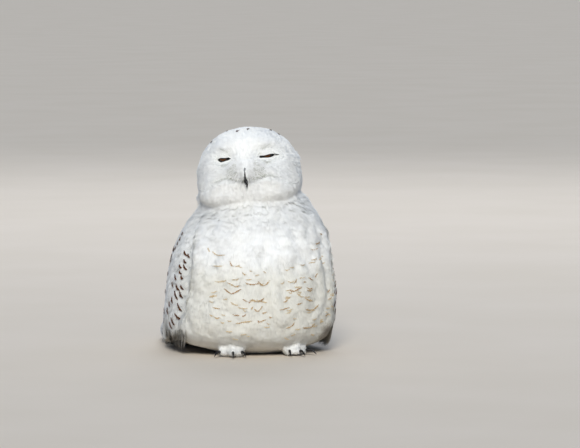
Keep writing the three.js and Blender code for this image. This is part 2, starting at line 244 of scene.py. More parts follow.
def joined_solids(name, nodes):
    """Copies of CAD nodes in one object, with each node's doubles merged."""
    build = bmesh.new()
    for node in nodes:
        part = bmesh.new()
        part.from_mesh(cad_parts[node].data)
        bmesh.ops.remove_doubles(part, verts=part.verts, dist=1e-6)
        held = bpy.data.meshes.new("held")
        part.to_mesh(held)
        part.free()
        build.from_mesh(held)
        bpy.data.meshes.remove(held)
    mesh = bpy.data.meshes.new(name)
    build.to_mesh(mesh)
    build.free()
    made = bpy.data.objects.new(name, mesh)
    bpy.context.scene.collection.objects.link(made)
    return made


def remeshed(made, voxel, rounds):
    evaluated(
        made,
        ("REMESH", {"mode": "VOXEL", "voxel_size": voxel, "use_smooth_shade": True}),
        ("SMOOTH", {"factor": 0.5, "iterations": rounds}),
    )
    made.data.polygons.foreach_set("use_smooth", [True] * len(made.data.polygons))
    return made


# ---- The body as a surface -----------------------------------------------------------------------


class Surface:
    """A closed mesh that feathers are laid on: nearest points, smooth normals and rays."""

    def __init__(self, mesh):
        mesh.calc_loop_triangles()
        self.points = points_of(mesh)
        triangles = np.zeros(len(mesh.loop_triangles) * 3, np.int32)
        mesh.loop_triangles.foreach_get("vertices", triangles)
        self.triangles = triangles.reshape(-1, 3)
        self.normals = points_of(mesh, "vertex_normals", "vector")
        self.tree = BVHTree.FromPolygons(self.points.tolist(), self.triangles.tolist())

    def smooth_normals(self, at, index):
        a, b, c = (self.points[self.triangles[index, i]] for i in range(3))
        area = np.linalg.norm(np.cross(b - a, c - a), axis=1)
        weights = [np.linalg.norm(np.cross(p - at, q - at), axis=1) / np.maximum(area, 1e-15) for p,
            q in ((b, c), (c, a), (a, b))]
        total = sum(self.normals[self.triangles[index, i]] * weights[i][:, None] for i in range(3))
        return unit(total)

    def nearest(self, at):
        found = [self.tree.find_nearest(p) for p in at.tolist()]
        where = np.array([f[0] for f in found], float).reshape(-1, 3)
        index = np.array([f[2] for f in found], int)
        return where, self.smooth_normals(where, index)

    def hit(self, start, heading):
        where, _, index, _ = self.tree.ray_cast(Vector(start), Vector(heading))
        if where is None:
            raise RuntimeError("a mark misses the body")
        at = np.array([where])
        return at[0], self.smooth_normals(at, np.array([index]))[0]

    def scatter(self, spacing, keep, seed):
        """Points spread evenly over part of the surface. spacing and keep take points and normals."""
        rng = np.random.default_rng(seed)
        a, b, c = (self.points[self.triangles[:, i]] for i in range(3))
        middle = (a + b + c) / 3
        facing = unit(np.cross(b - a, c - a))
        chosen = np.nonzero(keep(middle, facing))[0]
        area = np.linalg.norm(np.cross(b - a, c - a), axis=1)[chosen] / 2
        gap = spacing(middle[chosen], facing[chosen])
        wanted = area / gap**2 * 3.2
        count = rng.poisson(wanted)
        tri = np.repeat(chosen, count)
        mix = rng.random((len(tri), 2))
        flip = mix.sum(1) > 1
        mix[flip] = 1 - mix[flip]
        at = a[tri] + mix[:, :1] * (b - a)[tri] + mix[:, 1:] * (c - a)[tri]
        reach = np.repeat(gap, count)
        order = rng.permutation(len(at))
        at, reach, tri = at[order], reach[order], tri[order]
        cell = float(reach.max()) if len(reach) else 1.0
        cells = np.floor(at / cell).astype(int)
        kept, grid = [], {}
        spots, radii = at.tolist(), reach.tolist()
        steps = [(i, j, k) for i in (-1, 0, 1) for j in (-1, 0, 1) for k in (-1, 0, 1)]
        for n, (x, y, z) in enumerate(cells.tolist()):
            px, py, pz = spots[n]
            limit = (radii[n] * 0.84) ** 2
            near = False
            for i, j, k in steps:
                for m in grid.get((x + i, y + j, z + k), ()):
                    qx, qy, qz = spots[m]
                    if (px - qx) ** 2 + (py - qy) ** 2 + (pz - qz) ** 2 < limit:
                        near = True
                        break
                if near:
                    break
            if not near:
                grid.setdefault((x, y, z), []).append(n)
                kept.append(n)
        kept = np.array(kept, int)
        return at[kept], self.smooth_normals(at[kept], tri[kept])


class Body:
    """What the operators share: the outer form, the skin and the region that each point belongs to."""

    outer = None
    region_tree = None
    region_of_face = ()

    @classmethod
    def regions(cls, at):
        if cls.region_tree is None:
            points, faces, owner = [], [], []
            for index, node in enumerate(FLESH):
                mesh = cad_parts[node].data
                start = len(points)
                points += points_of(mesh).tolist()
                faces += [[start + v for v in face.vertices] for face in mesh.polygons]
                owner += [index] * len(mesh.polygons)
            cls.region_tree = BVHTree.FromPolygons(points, faces)
            cls.region_of_face = np.array(owner)
        return cls.region_of_face[[cls.region_tree.find_nearest(p)[2] for p in at.tolist()]]


def region_ids(*starts):
    return [i for i, node in enumerate(FLESH) if node.startswith(starts)]


def turn_of(points):
    """Degrees round the body from the breast, to the bird's left."""
    return np.degrees(np.arctan2(points[..., 0], BODY_AXIS_Y - points[..., 1]))


def smile(x):
    """Height of the facial disc's lower edge in the head's frame, in mm."""
    return np.interp(np.abs(x), (0, 5, 15, 23, 30, 36, 46, 60), (-3.8, -3.4, -1.4, 0.6, 2.7, 1, -3, -12))


def sculpted(points, normals, region):
    """How far the outer form swells or sinks, in mm, for the folds that the coat follows."""
    local = to_head(points)
    turn = turn_of(points)
    z = points[..., 2] / MM
    on_head = np.isin(region, region_ids("head"))
    on_trunk = np.isin(region, region_ids("trunk"))
    front = on_trunk & (normals[..., 1] < 0.35)
    rise = np.zeros(len(points))
    # Soft lumps of the breast and flanks.
    lumps = 1.7 * waves(points, 42 * MM, 3) + (0.9 + 0.7 * smoothstep(z, 110, 150)) * waves(points, 20 * MM,
        4)
    rise += np.where(front, lumps * smoothstep(z, 15, 60), 0)
    # The belly feathers part a little right of the middle, beside a soft ridge.
    low = smoothstep(-z, -178, -150) * smoothstep(z, 30, 60)
    middle = np.interp(z, (49, 75, 172), (8, 2.5, 1.5))
    ridge = (
        3.6 * np.exp(-(((turn - middle - 0.5) / 3.6) ** 2)) - 3.4 * np.exp(-(((turn - middle + 7) / 3.4) ** 2))
    )
    rise += np.where(front, low * ridge, 0)
    # The flanks puff over the front edges of the wings, and fold once more on the left.
    edge = np.interp(z, (60, 109, 130, 169, 192), (62, 61, 64, 69, 75))
    puff = 3.4 * np.exp(-(((np.abs(turn) - edge + 7) / 6) ** 2)) * smoothstep(z, 20, 60) * smoothstep(-z,
        -205, -180)
    fold = 2.4 * np.exp(-(((turn - 41) / 4) ** 2)) - 2.4 * np.exp(-(((turn - 48) / 3) ** 2))
    rise += np.where(front, puff + fold * smoothstep(z, 60, 100) * smoothstep(-z, -190, -170), 0)
    wing = np.isin(region, region_ids("wing"))
    rise += np.where(wing, -1.4 * smoothstep(edge + 12 - np.abs(turn), 0, 9), 0)
    # The facial disc ends in a fold over the cheeks and chin.
    below = local[:, 2] - smile(local[:, 0])
    face = on_head & (local[:, 1] < -30)
    fade = smoothstep(-np.abs(local[:, 0]), -58, -44)
    fold = -1.0 * np.exp(-((below / 2.2) ** 2)) + 2.4 * np.exp(-(((below + 8) / 6) ** 2))
    rise += np.where(face, fold * fade, 0)
    # Brows, and a crease under each eye.
    x = np.abs(local[:, 0])
    brow = 2.4 * np.exp(-(((x - 31) / 12) ** 2) - (((local[:, 2] - 47) / 4.5) ** 2))
    hollow = -1.8 * np.exp(-(((x - 20) / 6) ** 2) - (((local[:, 2] - 33) / 8) ** 2))
    crease = -1.4 * np.exp(-(((x - 35) / 10) ** 2) - (((local[:, 2] - 19) / 2.2) ** 2))
    rise += np.where(face, brow + hollow + crease, 0)
    rise += np.where(on_head & ~face, 0.7 * waves(points, 24 * MM, 8), 0)
    # The crown is a little flatter than a ball, and the ruff under the chin meets the breast softly.
    rise += np.where(on_head, -3.8 * np.exp(-((local[:, 0] / 34) ** 2)) * smoothstep(local[:, 2], 52, 70), 0)
    ruff = smoothstep(z, 203, 216) * smoothstep(-local[:, 1], 10, 35) * smoothstep(-np.abs(turn), -60, -40)
    rise += np.where(~on_head, 3.0 * ruff, 0)
    # On the right the cheek hangs lower, and its fold with the shoulder lies at 214 mm.
    cheek = smoothstep(-turn, 35, 60) * smoothstep(turn, -86, -70)
    rise += cheek * (4.5 * np.exp(-(((z - 232) / 9) ** 2)) - 2.5 * np.exp(-(((z - 214) / 4) ** 2)))
    return rise


def coat_depth(points, region):
    """Depth of the plumage in mm."""
    local = to_head(points)
    depth = np.full(len(points), 5.5)
    face = smoothstep(local[:, 1], -20, -48)
    for starts, value in (("neck", 6.0), ("wing", 3.4), ("primaries", 1.8), ("tail", 1.8), ("leg", 4.0),
        ("foot", 2.2)):
        depth[np.isin(region, region_ids(starts))] = value
    on_head = np.isin(region, region_ids("head"))
    depth[on_head] = (4.4 - 1.9 * face)[on_head]
    back = np.isin(region, region_ids("trunk")) & (points[:, 1] > -60 * MM)
    depth[back] = 4.2
    return depth


def spread_over(mesh, values, rounds):
    """Values at the vertices, evened out along the edges."""
    edges = np.zeros(len(mesh.edges) * 2, np.int32)
    mesh.edges.foreach_get("vertices", edges)
    edges = edges.reshape(-1, 2)
    count = np.bincount(edges.ravel(), minlength=len(values)).astype(float)
    for _ in range(rounds):
        total = np.bincount(edges[:, 0], values[edges[:, 1]], len(values)) + np.bincount(edges[:, 1],
            values[edges[:, 0]], len(values))
        values = 0.4 * values + 0.6 * total / np.maximum(count, 1)
    return values


# ---- Materials -----------------------------------------------------------------------------------


def in_use(sockets, key):
    """A socket by its number, or by its name among those that the node's settings leave in use."""
    return sockets[key] if isinstance(key, int) else next(s for s in sockets if s.name == key and s.enabled)


def add(tree, kind, settings=None, links=None, **attributes):
    """Adds a node, sets its properties and inputs, and links other sockets into it."""
    node = tree.nodes.new(kind)
    for key, value in attributes.items():
        setattr(node, key, value)
    for key, value in (settings or {}).items():
        in_use(node.inputs, key).default_value = value
    for key, socket in (links or {}).items():
        tree.links.new(socket, in_use(node.inputs, key))
    return node


def material(name, build):
    """A node material, made once."""
    found = bpy.data.materials.get(name)
    if found:
        return found
    made = bpy.data.materials.new(name)
    made.use_nodes = True
    tree = made.node_tree
    tree.nodes.clear()
    shader = build(tree)
    add(tree, "ShaderNodeOutputMaterial", links={"Surface": shader.outputs[0]})
    return made


def ramp_colours(tree, factor, *stops):
    node = add(tree, "ShaderNodeValToRGB", links={"Fac": factor})
    elements = node.color_ramp.elements
    for index, (position, code) in enumerate(stops):
        element = elements[index] if index < 2 else elements.new(position)
        element.position = position
        element.color = linear(code)
    return node.outputs["Color"]


def down_feather(white, shade, mark):
    """Downy keratin with no pigment: matt and white, with painted shade between the barbs and under the folded
    wings, and brown where it is barred.
    """

    def build(tree):
        tone = add(tree, "ShaderNodeAttribute", attribute_name="tone").outputs["Fac"]
        marked = add(tree, "ShaderNodeAttribute", attribute_name="mark").outputs["Fac"]
        place = add(tree, "ShaderNodeTexCoord").outputs["Object"]
        # Faint warmer and cooler patches, 30 mm across.
        patch = add(tree, "ShaderNodeTexNoise", {"Scale": 33.0, "Detail": 2.0},
            {"Vector": place}).outputs["Fac"]
        tint = ramp_colours(tree, patch, (0.35, white[0]), (0.65, white[1]))
        # tone greys the white as painted shade between the barbs, at their roots and in the folds of the face,
        # and by a random amount from feather to feather.
        base = add(tree, "ShaderNodeMix", {"B": linear(shade)}, {"Factor": tone, "A": tint}, data_type="RGBA")
        # Painted shade: a faint grey-buff over the belly and dark grey-brown under the folded wing-tips,
        # multiplied over the colour.
        shade_amount = add(tree, "ShaderNodeAttribute", attribute_name="soil").outputs["Fac"]
        shade_colour = ramp_colours(tree, shade_amount, (0, "#ffffff"), (0.3, "#ebe9e1"), (1, "#877b70"))
        shaded_base = add(
            tree,
            "ShaderNodeMix",
            {"Factor": 1.0},
            {"A": in_use(base.outputs, "Result"), "B": shade_colour},
            data_type="RGBA",
            blend_type="MULTIPLY",
        )
        colour = add(tree, "ShaderNodeMix", {"B": linear(mark)},
            {"Factor": marked, "A": in_use(shaded_base.outputs, "Result")}, data_type="RGBA")
        return add(
            tree,
            "ShaderNodeBsdfPrincipled",
            {"Roughness": 0.9, "Specular IOR Level": 0.15, "Sheen Weight": 0.04, "Sheen Roughness": 0.5},
            {"Base Color": in_use(colour.outputs, "Result")},
        )

    return build


# ---- Eyes and lids -------------------------------------------------------------------------------

EYES = {
    "right": {"centre": to_head(np.array((-44.7, -119.8, 292.8)) * MM)},
    "left": {"centre": to_head(np.array((7.1, -137.1, 297.6)) * MM)},
}
EYE_RADIUS = 17.0
for name, sign in SIDES.items():
    splay, tilt = sign * 0.28, math.radians(2)
    EYES[name]["gaze"] = np.array((math.sin(splay), -math.cos(splay), 0))
    EYES[name]["along"] = np.array((math.cos(splay) * math.cos(tilt), math.sin(splay) * math.cos(tilt),
        math.sin(tilt)))
    EYES[name]["up"] = np.cross(EYES[name]["along"], EYES[name]["gaze"]) * -1


def slit_outline(side, count=36):
    """The edge of a lid opening, as (along, up) in mm, round from its inner corner over the top."""
    slit = SLITS[side]
    t = np.linspace(0, 1, count // 2 + 1)
    edges = []
    for key, sign in (("up", 1), ("down", -1)):
        rise = np.interp(t, slit["at"], slit[key])
        for _ in range(2):
            rise[1:-1] = (rise[:-2] + 2 * rise[1:-1] + rise[2:]) / 4
        edges.append(sign * rise)
    inner = -SIDES[side]
    along = inner * (slit["half"] * (1 - 2 * t) - slit["shift"])
    top = np.stack([along, edges[0]], 1)
    low = np.stack([along, edges[1]], 1)[-2:0:-1]
    return np.concatenate([top, low])


def to_bill(points):
    """Distance in mm from the bill."""
    bills = [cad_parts["bill_" + name].data for name in ("upper", "lower")]
    trees = [BVHTree.FromPolygons(points_of(m).tolist(),
        [list(f.vertices) for f in m.polygons]) for m in bills]
    return np.array([min(tree.find_nearest(p)[3] for tree in trees) for p in points.tolist()]) / MM


def beyond_slit(points, side):
    """Distance in mm from a point of the face to the lid opening, negative inside it."""
    eye, slit = EYES[side], SLITS[side]
    offset = to_head(points) - eye["centre"]
    a, b = offset @ eye["along"] - SIDES[side] * slit["shift"], offset @ eye["up"]
    t = np.clip(0.5 - a * -SIDES[side] / (2 * slit["half"]), 0, 1)
    top, low = np.interp(t, slit["at"], slit["up"]), -np.interp(t, slit["at"], slit["down"])
    outside = np.maximum(np.abs(a) - slit["half"], 0)
    above = np.maximum(b - top, low - b)
    far = np.where(outside > 0, np.hypot(outside, np.maximum(above, 0)), above)
    return np.where((offset @ eye["gaze"]) > 0, far, 99)


def on_lid(side, ab, rise, blend, depth):
    """Points over the eyeball at (along, up), drawn by blend to a depth in mm below the head's surface."""
    eye = EYES[side]
    a, b = ab[:, 0], ab[:, 1]
    reach = EYE_RADIUS + rise
    out = np.sqrt(np.maximum(reach**2 - a**2 - b**2, 9.0))
    local = eye["centre"] + a[:, None] * eye["along"] + b[:, None] * eye["up"] + out[:, None] * eye["gaze"]
    points = from_head(local)
    heading = HEAD_TURN @ eye["gaze"]
    # Past the eyeball's side the opening runs out along the face.
    shares = np.maximum(blend, smoothstep(np.abs(a), 12.5, 15.5))
    for i in np.nonzero(shares)[0]:
        where, normal = Body.outer.hit(points[i] + heading * 0.05, -heading)
        points[i] += shares[i] * (where - normal * max(depth, 0.5) * MM - points[i])
    return points


# ---- How the plumage lies ------------------------------------------------------------------------


def across(vectors, normals):
    """The part of each vector that lies in the surface, as a unit vector."""
    return unit(vectors - (vectors * normals).sum(-1, keepdims=True) * normals)


def lie_of_body(points, normals, region):
    x, y = points[:, 0] / MM, points[:, 1] / MM
    heading = np.stack([0.3 * x / 90, np.full(len(x), 0.1), np.full(len(x), -1.0)], 1)
    rear = smoothstep(y, -75, -10)[:, None]
    heading = heading * (1 - rear) + np.array((0, 1.0, -0.75)) * rear
    under = smoothstep(-normals[:, 2], 0.45, 0.85)[:, None]
    heading = heading * (1 - under) + np.array((0, 1.0, -0.1)) * under
    wing = np.isin(region, region_ids("wing", "primaries"))
    tip = np.stack([np.sign(points[:, 0]) * 45 * MM, np.full(len(x), 172 * MM), np.full(len(x), 3 * MM)], 1)
    down = smoothstep(-y, 70, 125)[:, None] * np.array((0, 0, -0.5))
    heading[wing] = (unit(tip - points) + down)[wing]
    heading[np.isin(region, region_ids("tail"))] = (0, 1.0, -0.28)
    foot = np.isin(region, region_ids("foot"))
    heading[foot] = (0, -1.0, -0.15)
    wander = 0.13 * np.stack([waves(points, 37 * MM, 20 + i) for i in range(3)], 1)
    return across(heading + wander, normals)


def lie_of_head(points, normals):
    local = to_head(points)
    x, y, z = local.T
    face = smoothstep(-y, 34, 56)[:, None]
    outward = np.zeros_like(local)
    for side, sign in SIDES.items():
        away = local - EYES[side]["centre"]
        away[:, 1] *= 0.3
        outward += unit(away) * np.exp(-((away**2).sum(1) / (2 * 17.0**2)))[:, None]
    bill = local - np.array((0, -78, 20))
    bill[:, 1] *= 0.3
    outward += 1.5 * unit(bill) * np.exp(-((bill**2).sum(1) / (2 * 23.0**2)))[:, None]
    ray = np.stack([x / 60, np.full(len(x), 0.25), (z - 22) / 60], 1)
    outward += 0.5 * unit(ray)
    crown = np.stack([0.25 * x / 60, np.ones(len(x)), 0.1 * np.ones(len(x))], 1)
    cheek = np.stack([0.2 * x / 60, 0.45 + 0 * x, -0.85 + 0 * x], 1)
    nape = np.stack([0 * x, 0.5 + 0 * x, -1.0 + 0 * x], 1)
    high = smoothstep(z, 10, 45)[:, None]
    rest = crown * high + cheek * (1 - high)
    behind = smoothstep(y, 10, 45)[:, None]
    rest = rest * (1 - behind) + nape * behind
    chin = np.stack([0.7 * x / 60, 0.15 + 0 * x, -1.0 + 0 * x], 1)
    low = smoothstep(smile(x) - z, -4, 8)[:, None] * face
    field = (outward * face + rest * (1 - face)) * (1 - low) + chin * low
    wander = 0.1 * np.stack([waves(points, 22 * MM, 40 + i) for i in range(3)], 1)
    return across((field + wander) @ HEAD_TURN.T, normals)


def face_shade(points):
    """Painted shade between the fine feathers of the face, from 0 to 1: along the disc's lower edge, round the
    bill, in the creases under the eyes and below the brows.
    """
    x, y, z = to_head(points).T
    front = smoothstep(-y, 36, 52)
    below = z - smile(x)
    line = 0.6 * np.exp(-(((below - 0.4) / 1.8) ** 2)) * (1 - 0.75 * smoothstep(np.abs(x), 20, 36))
    bill = 0.22 * np.exp(-((x / 8) ** 2) - (((z - 3) / 8) ** 2))
    broad = 0.04 * np.exp(-((x / 34) ** 2)) * smoothstep(z, -6, 2) * smoothstep(-z, -26, -12)
    x = np.abs(x)
    crease = 0.35 * np.exp(-(((x - 34) / 8) ** 2) - (((z - 21.3 - 0.02 * (x - 34) ** 2) / 1.5) ** 2))
    brow = 0.22 * np.exp(-(((x - 29.5) / 7) ** 2) - (((z - 38 - 0.55 * (x - 24)) / 3.2) ** 2))
    return np.clip((line + bill + broad + crease + brow) * front, 0, 1)


def soil(points):
    """Painted shade on the plumage, from 0 to 1: faint grey-buff over the belly, and dark grey-brown on the lower
    flanks under the folded wing-tips.
    """
    turn = turn_of(points)
    y, z = points[..., 1] / MM, points[..., 2] / MM
    belly = 0.25 * smoothstep(-np.abs(turn), -80, -50) * smoothstep(-z, -170, -125) * smoothstep(z, 0, 60)
    right = smoothstep(-turn, 69, 76) * smoothstep(43 - 0.25 * (y + 117) - z, -1, 4)
    left = smoothstep(turn, 43, 51) * smoothstep(58 - 0.25 * (y + 150) - z, -3, 8)
    return np.clip(belly + (0.85 * right + 0.7 * left) * smoothstep(-y, -60, -20), 0, 1)


# ---- Unwraps for the baked finish ----------------------------------------------------------------


def unwrap_body(points):
    return np.stack([turn_of(points) / 360 + 0.5, 0.04 + 0.9 * points[:, 2] / 0.36], 1)


def unwrap_head(points):
    x, y, z = to_head(points).T
    high = np.arcsin(np.clip(z / np.sqrt(x**2 + y**2 + z**2), -1, 1))
    return np.stack([np.arctan2(x, -y) / (2 * math.pi) + 0.5, high / math.pi + 0.5], 1)


def unwrap_side(points):
    half = np.where(points[:, 0] < 0, 0.0, 0.5)
    return np.stack([0.02 + 0.46 * (points[:, 1] + 0.22) / 0.44 + half, 0.04 + 0.9 * points[:, 2] / 0.3], 1)


def unwrap_top(points):
    under = np.where(points[:, 2] > 0.02 - points[:, 1] * 0.1, 0.0, 0.5)
    return np.stack([0.02 + 0.46 * (points[:, 0] + 0.15) / 0.3 + under,
        0.02 + 0.94 * (points[:, 1] + 0.22) / 0.44], 1)


# ---- Feathers ------------------------------------------------------------------------------------


class Coat:
    """Feathers of one piece, as fans of narrow barbs, with shading normals and patches of the unwrap."""

    def __init__(self, surface, unwrap, seed):
        self.surface, self.unwrap, self.rng = surface, unwrap, np.random.default_rng(seed)
        self.points, self.normals, self.faces = [], [], []
        self.tone, self.mark, self.soil, self.uv = [], [], [], []
        self.total = 0

    def put(self, points, normals, tone, mark, shade_amount, uv, pattern):
        """Strips of shape (count, corners, 3), all with one pattern of triangles."""
        count, corners = points.shape[:2]
        offsets = self.total + np.arange(count)[:, None, None] * corners
        self.faces.append((pattern[None] + offsets).reshape(-1, 3))
        for store, values in zip(
            (self.points, self.normals, self.tone, self.mark, self.soil, self.uv),
            (points, normals, tone, mark, shade_amount, uv),
        ):
            store.append(values.reshape(count * corners, -1))
        self.total += count * corners

    def spine(self, roots, normals, heading, length, heights, tips):
        """Three points of each feather's shaft, along the surface at heights in mm, and their normals."""
        at, facing = [roots], [normals]
        forward = heading
        if tips is not None:
            at += [(roots + tips[0]) / 2, tips[0]]
            facing += [unit(normals + tips[1]), tips[1]]
            lifted = [p + n * (np.asarray(h) * MM).reshape(-1, 1) for p, n, h in zip(at, facing, heights)]
            return lifted, facing
        for _ in range(2):
            where, normal = self.surface.nearest(at[-1] + forward * length[:, None] / 2)
            forward = across(where - at[-1] + 1e-9 * forward, normal)
            at.append(where)
            facing.append(normal)
        lifted = [p + n * (np.asarray(h) * MM).reshape(-1, 1) for p, n, h in zip(at, facing, heights)]
        return lifted, facing

    def lay(self, roots, normals, heading, length, width, heights, barbs=9, rows=3, cup=0.05, fray=0.14,
        tip=0.5,
            tone=0.0, mark=0.0, root_shade=0.16, tips=None, shade_amount=None, lean=0.0, tilt=0.08):
        """Feathers at roots. length and width are in metres, heights at root, middle and tip in mm."""
        count = len(roots)
        if not count:
            return
        rng = self.rng
        length = np.broadcast_to(length, (count,)).astype(float)
        width = np.broadcast_to(width, (count,)).astype(float)
        (p0, p1, p2), (n0, n1, n2) = self.spine(roots, normals, heading, length, heights, tips)
        u = np.linspace(-1, 1, barbs)[None, :] + rng.uniform(-0.6, 0.6, (count, barbs)) / barbs
        end = 1 - (1 - tip) * 0.55 * np.abs(u) ** 2.2 + fray * rng.uniform(-1, 1, (count, barbs))
        drop = rng.uniform(0, 1, (count, barbs))
        profile = np.interp(np.arange(rows + 1) / rows, (0, 0.3, 0.75, 1), (0.75, 1.0, 0.8, 0.0))
        # Firm feathers have barbs that meet edge to edge, and downy ones leave gaps.
        share = width[:, None] / barbs * rng.uniform(*((0.95, 1.2) if barbs > 16 else (0.6, 1.0)),
            (count, barbs))
        strips, shading, along = [], [], []
        base = self.unwrap(roots)
        # Light comes through loose down, so its underside shades like a surface that faces more upwards.
        upward = np.broadcast_to(lean, (count,))[:, None, None] * np.array((0, 0, 1.0))
        # No two feathers lie quite alike.
        upward = upward + rng.normal(0, tilt, (count, 1, 3))
        patches = []
        for k in range(rows + 1):
            s = end * k / rows
            w0, w1, w2 = (1 - s) * (1 - 2 * s), 4 * s * (1 - s), s * (2 * s - 1)
            d0, d1, d2 = 4 * s - 3, 4 - 8 * s, 4 * s - 1
            centre = w0[..., None] * p0[:, None] + w1[..., None] * p1[:, None] + w2[..., None] * p2[:, None]
            ahead = unit(d0[..., None] * p0[:, None] + d1[..., None] * p1[:, None] + d2[..., None] * p2[:,
                None])
            normal = unit(w0[..., None] * n0[:, None] + w1[..., None] * n1[:, None] + w2[..., None] * n2[:,
                None])
            normal = across(normal, ahead)
            side = np.cross(ahead, normal)
            fan = np.interp(s, (0, 0.25, 0.6, 1.0, 1.2), (0.15, 0.6, 1.0, 0.92, 0.85))
            out = u * fan * width[:, None] / 2
            sink = cup * width[:, None] * (u * fan) ** 2 + 0.25 * MM * drop
            middle = centre + side * out[..., None] - normal * sink[..., None]
            soft = unit(normal + side * (u * fan * 0.22)[..., None] + ahead * 0.1 + upward)
            half = (share * profile[k] / 2)[..., None] * side
            for edge in ((-1, 1) if k < rows else (0,)):
                strips.append(middle + edge * half)
                shading.append(soft)
                along.append(np.broadcast_to(s, s.shape))
                patches.append(
                    base[:, None, :] + 0.003 * np.stack([u / 2 + edge * 0.3 / barbs, s - 0.5], -1)
                )
        points = np.stack(strips, 2).reshape(count * barbs, -1, 3)
        shade = np.stack(shading, 2).reshape(count * barbs, -1, 3)
        s = np.stack(along, 2)
        # Grey that differs at random per feather and barb, with painted shade towards each root.
        per_feather = np.broadcast_to(np.asarray(tone, float).reshape(-1, 1, 1), (count, 1, 1))
        grey = per_feather + root_shade * np.clip(1 - s / 0.8, 0,
            1) ** 1.3 + 0.09 * rng.random((count, barbs, 1))
        marked = np.broadcast_to(np.asarray(mark, float).reshape(-1, 1, 1), s.shape)
        # Painted shade under the folded wings and on the belly, a little stronger towards each tip.
        shade_amount = soil(roots) if shade_amount is None else np.full(count, shade_amount)
        shade_along = shade_amount.reshape(-1, 1, 1) * (0.75 + 0.25 * s)
        pattern = []
        for k in range(rows - 1):
            a = 2 * k
            pattern += [(a, a + 1, a + 2), (a + 1, a + 3, a + 2)]
        a = 2 * (rows - 1)
        pattern.append((a, a + 1, a + 2))
        self.put(
            points,
            shade,
            np.clip(grey, 0, 1).reshape(count * barbs, -1),
            marked.reshape(count * barbs, -1),
            shade_along.reshape(count * barbs, -1),
            np.stack(patches, 2).reshape(count * barbs, -1, 2),
            np.array(pattern),
        )

    def make(self, name, finish):
        points, faces = np.concatenate(self.points), np.concatenate(self.faces)
        points[:, 2] = np.maximum(points[:, 2], 0.3 * MM)
        if len(faces) >= 200000:
            raise RuntimeError(name + " has too many triangles: " + str(len(faces)))
        made = object_from(name, points, faces)
        mesh = made.data
        put_attribute(mesh, "tone", np.concatenate(self.tone))
        put_attribute(mesh, "mark", np.concatenate(self.mark))
        put_attribute(mesh, "soil", np.concatenate(self.soil))
        layer = mesh.uv_layers.new(name="OFBake")
        layer.uv.foreach_set("vector", np.concatenate(self.uv)[faces.ravel()].astype(np.float32).ravel())
        mesh.normals_split_custom_set_from_vertices(unit(np.concatenate(self.normals)).tolist())
        return finish_piece(made, finish)


def open_to_air(surface, points, normals, reach=0.05):
    """Which points face open air, rather than a wing, the belly or the ground close by."""
    free = []
    for p, n in zip(points.tolist(), normals.tolist()):
        start = Vector(p) + Vector(n) * 0.004
        free.append(surface.tree.ray_cast(start, Vector(n), reach)[0] is None and start.z > 0.001)
    return np.array(free, bool)


# ---- Settings ------------------------------------------------------------------------------------


class OwlPlumage(bpy.types.PropertyGroup):
    white: bpy.props.StringProperty(name="White", description="Colour of clean plumage in the sun",
        default="#f5f5f2")
    # Colour of the painted shade between the barbs and at their roots.
    shade: bpy.props.StringProperty(name="Shade", description="Grey between the barbs", default="#a9adac")
    buff: bpy.props.StringProperty(name="Buff bars", description="Faint bars of the belly", default="#d9c49a")
    brown: bpy.props.StringProperty(name="Brown bars", description="Darkest bars of the belly",
        default="#956a33")
    spot: bpy.props.StringProperty(name="Wing spots", description="Spots of the wings and crown",
        default="#2a160a")
    face_gap: bpy.props.FloatProperty(
        name="Face tufts", description="Distance between tufts of the face", default=0.0022, unit="LENGTH"
    )
    head_gap: bpy.props.FloatProperty(
        name="Head tufts", description="Distance between tufts of crown, cheeks and nape", default=0.0030,
        unit="LENGTH"
    )
    breast_gap: bpy.props.FloatProperty(
        name="Breast tufts", description="Distance between feathers of breast and belly", default=0.0040,
        unit="LENGTH"
    )
    back_gap: bpy.props.FloatProperty(
        name="Back feathers", description="Distance between feathers of the back", default=0.0048,
        unit="LENGTH"
    )
    wing_gap: bpy.props.FloatProperty(
        name="Wing coverts", description="Distance between coverts near the shoulder", default=0.0070,
        unit="LENGTH"
    )


class OwlEyes(bpy.types.PropertyGroup):
    # The amber is a darker brown than the iris's own yellow: painted shade of the nearly shut lids.
    iris: bpy.props.StringProperty(name="Iris", description="Amber of the iris", default="#5c340f")
    pupil: bpy.props.FloatProperty(
        name="Pupil radius", description="Radius of the pupil, in mm on the eyeball", default=2.4
    )
    iris_radius: bpy.props.FloatProperty(
        name="Iris radius", description="Radius of the iris, in mm on the eyeball", default=7.0
    )


class OwlBristles(bpy.types.PropertyGroup):
    length: bpy.props.FloatProperty(
        name="Length", description="Length of a bristle by the bill", default=0.015, unit="LENGTH"
    )
    thickness: bpy.props.FloatProperty(
        name="Radius", description="Radius of a bristle at its root", default=0.00038, unit="LENGTH"
    )
    density: bpy.props.FloatProperty(name="Density", description="Bristles on each square metre",
        default=230000.0)


# ---- Operators -----------------------------------------------------------------------------------


def plumage_material():
    plumage = bpy.context.scene.owl_plumage
    return material("down_white", down_feather(("#f6f5f0", plumage.white), plumage.shade, plumage.brown))


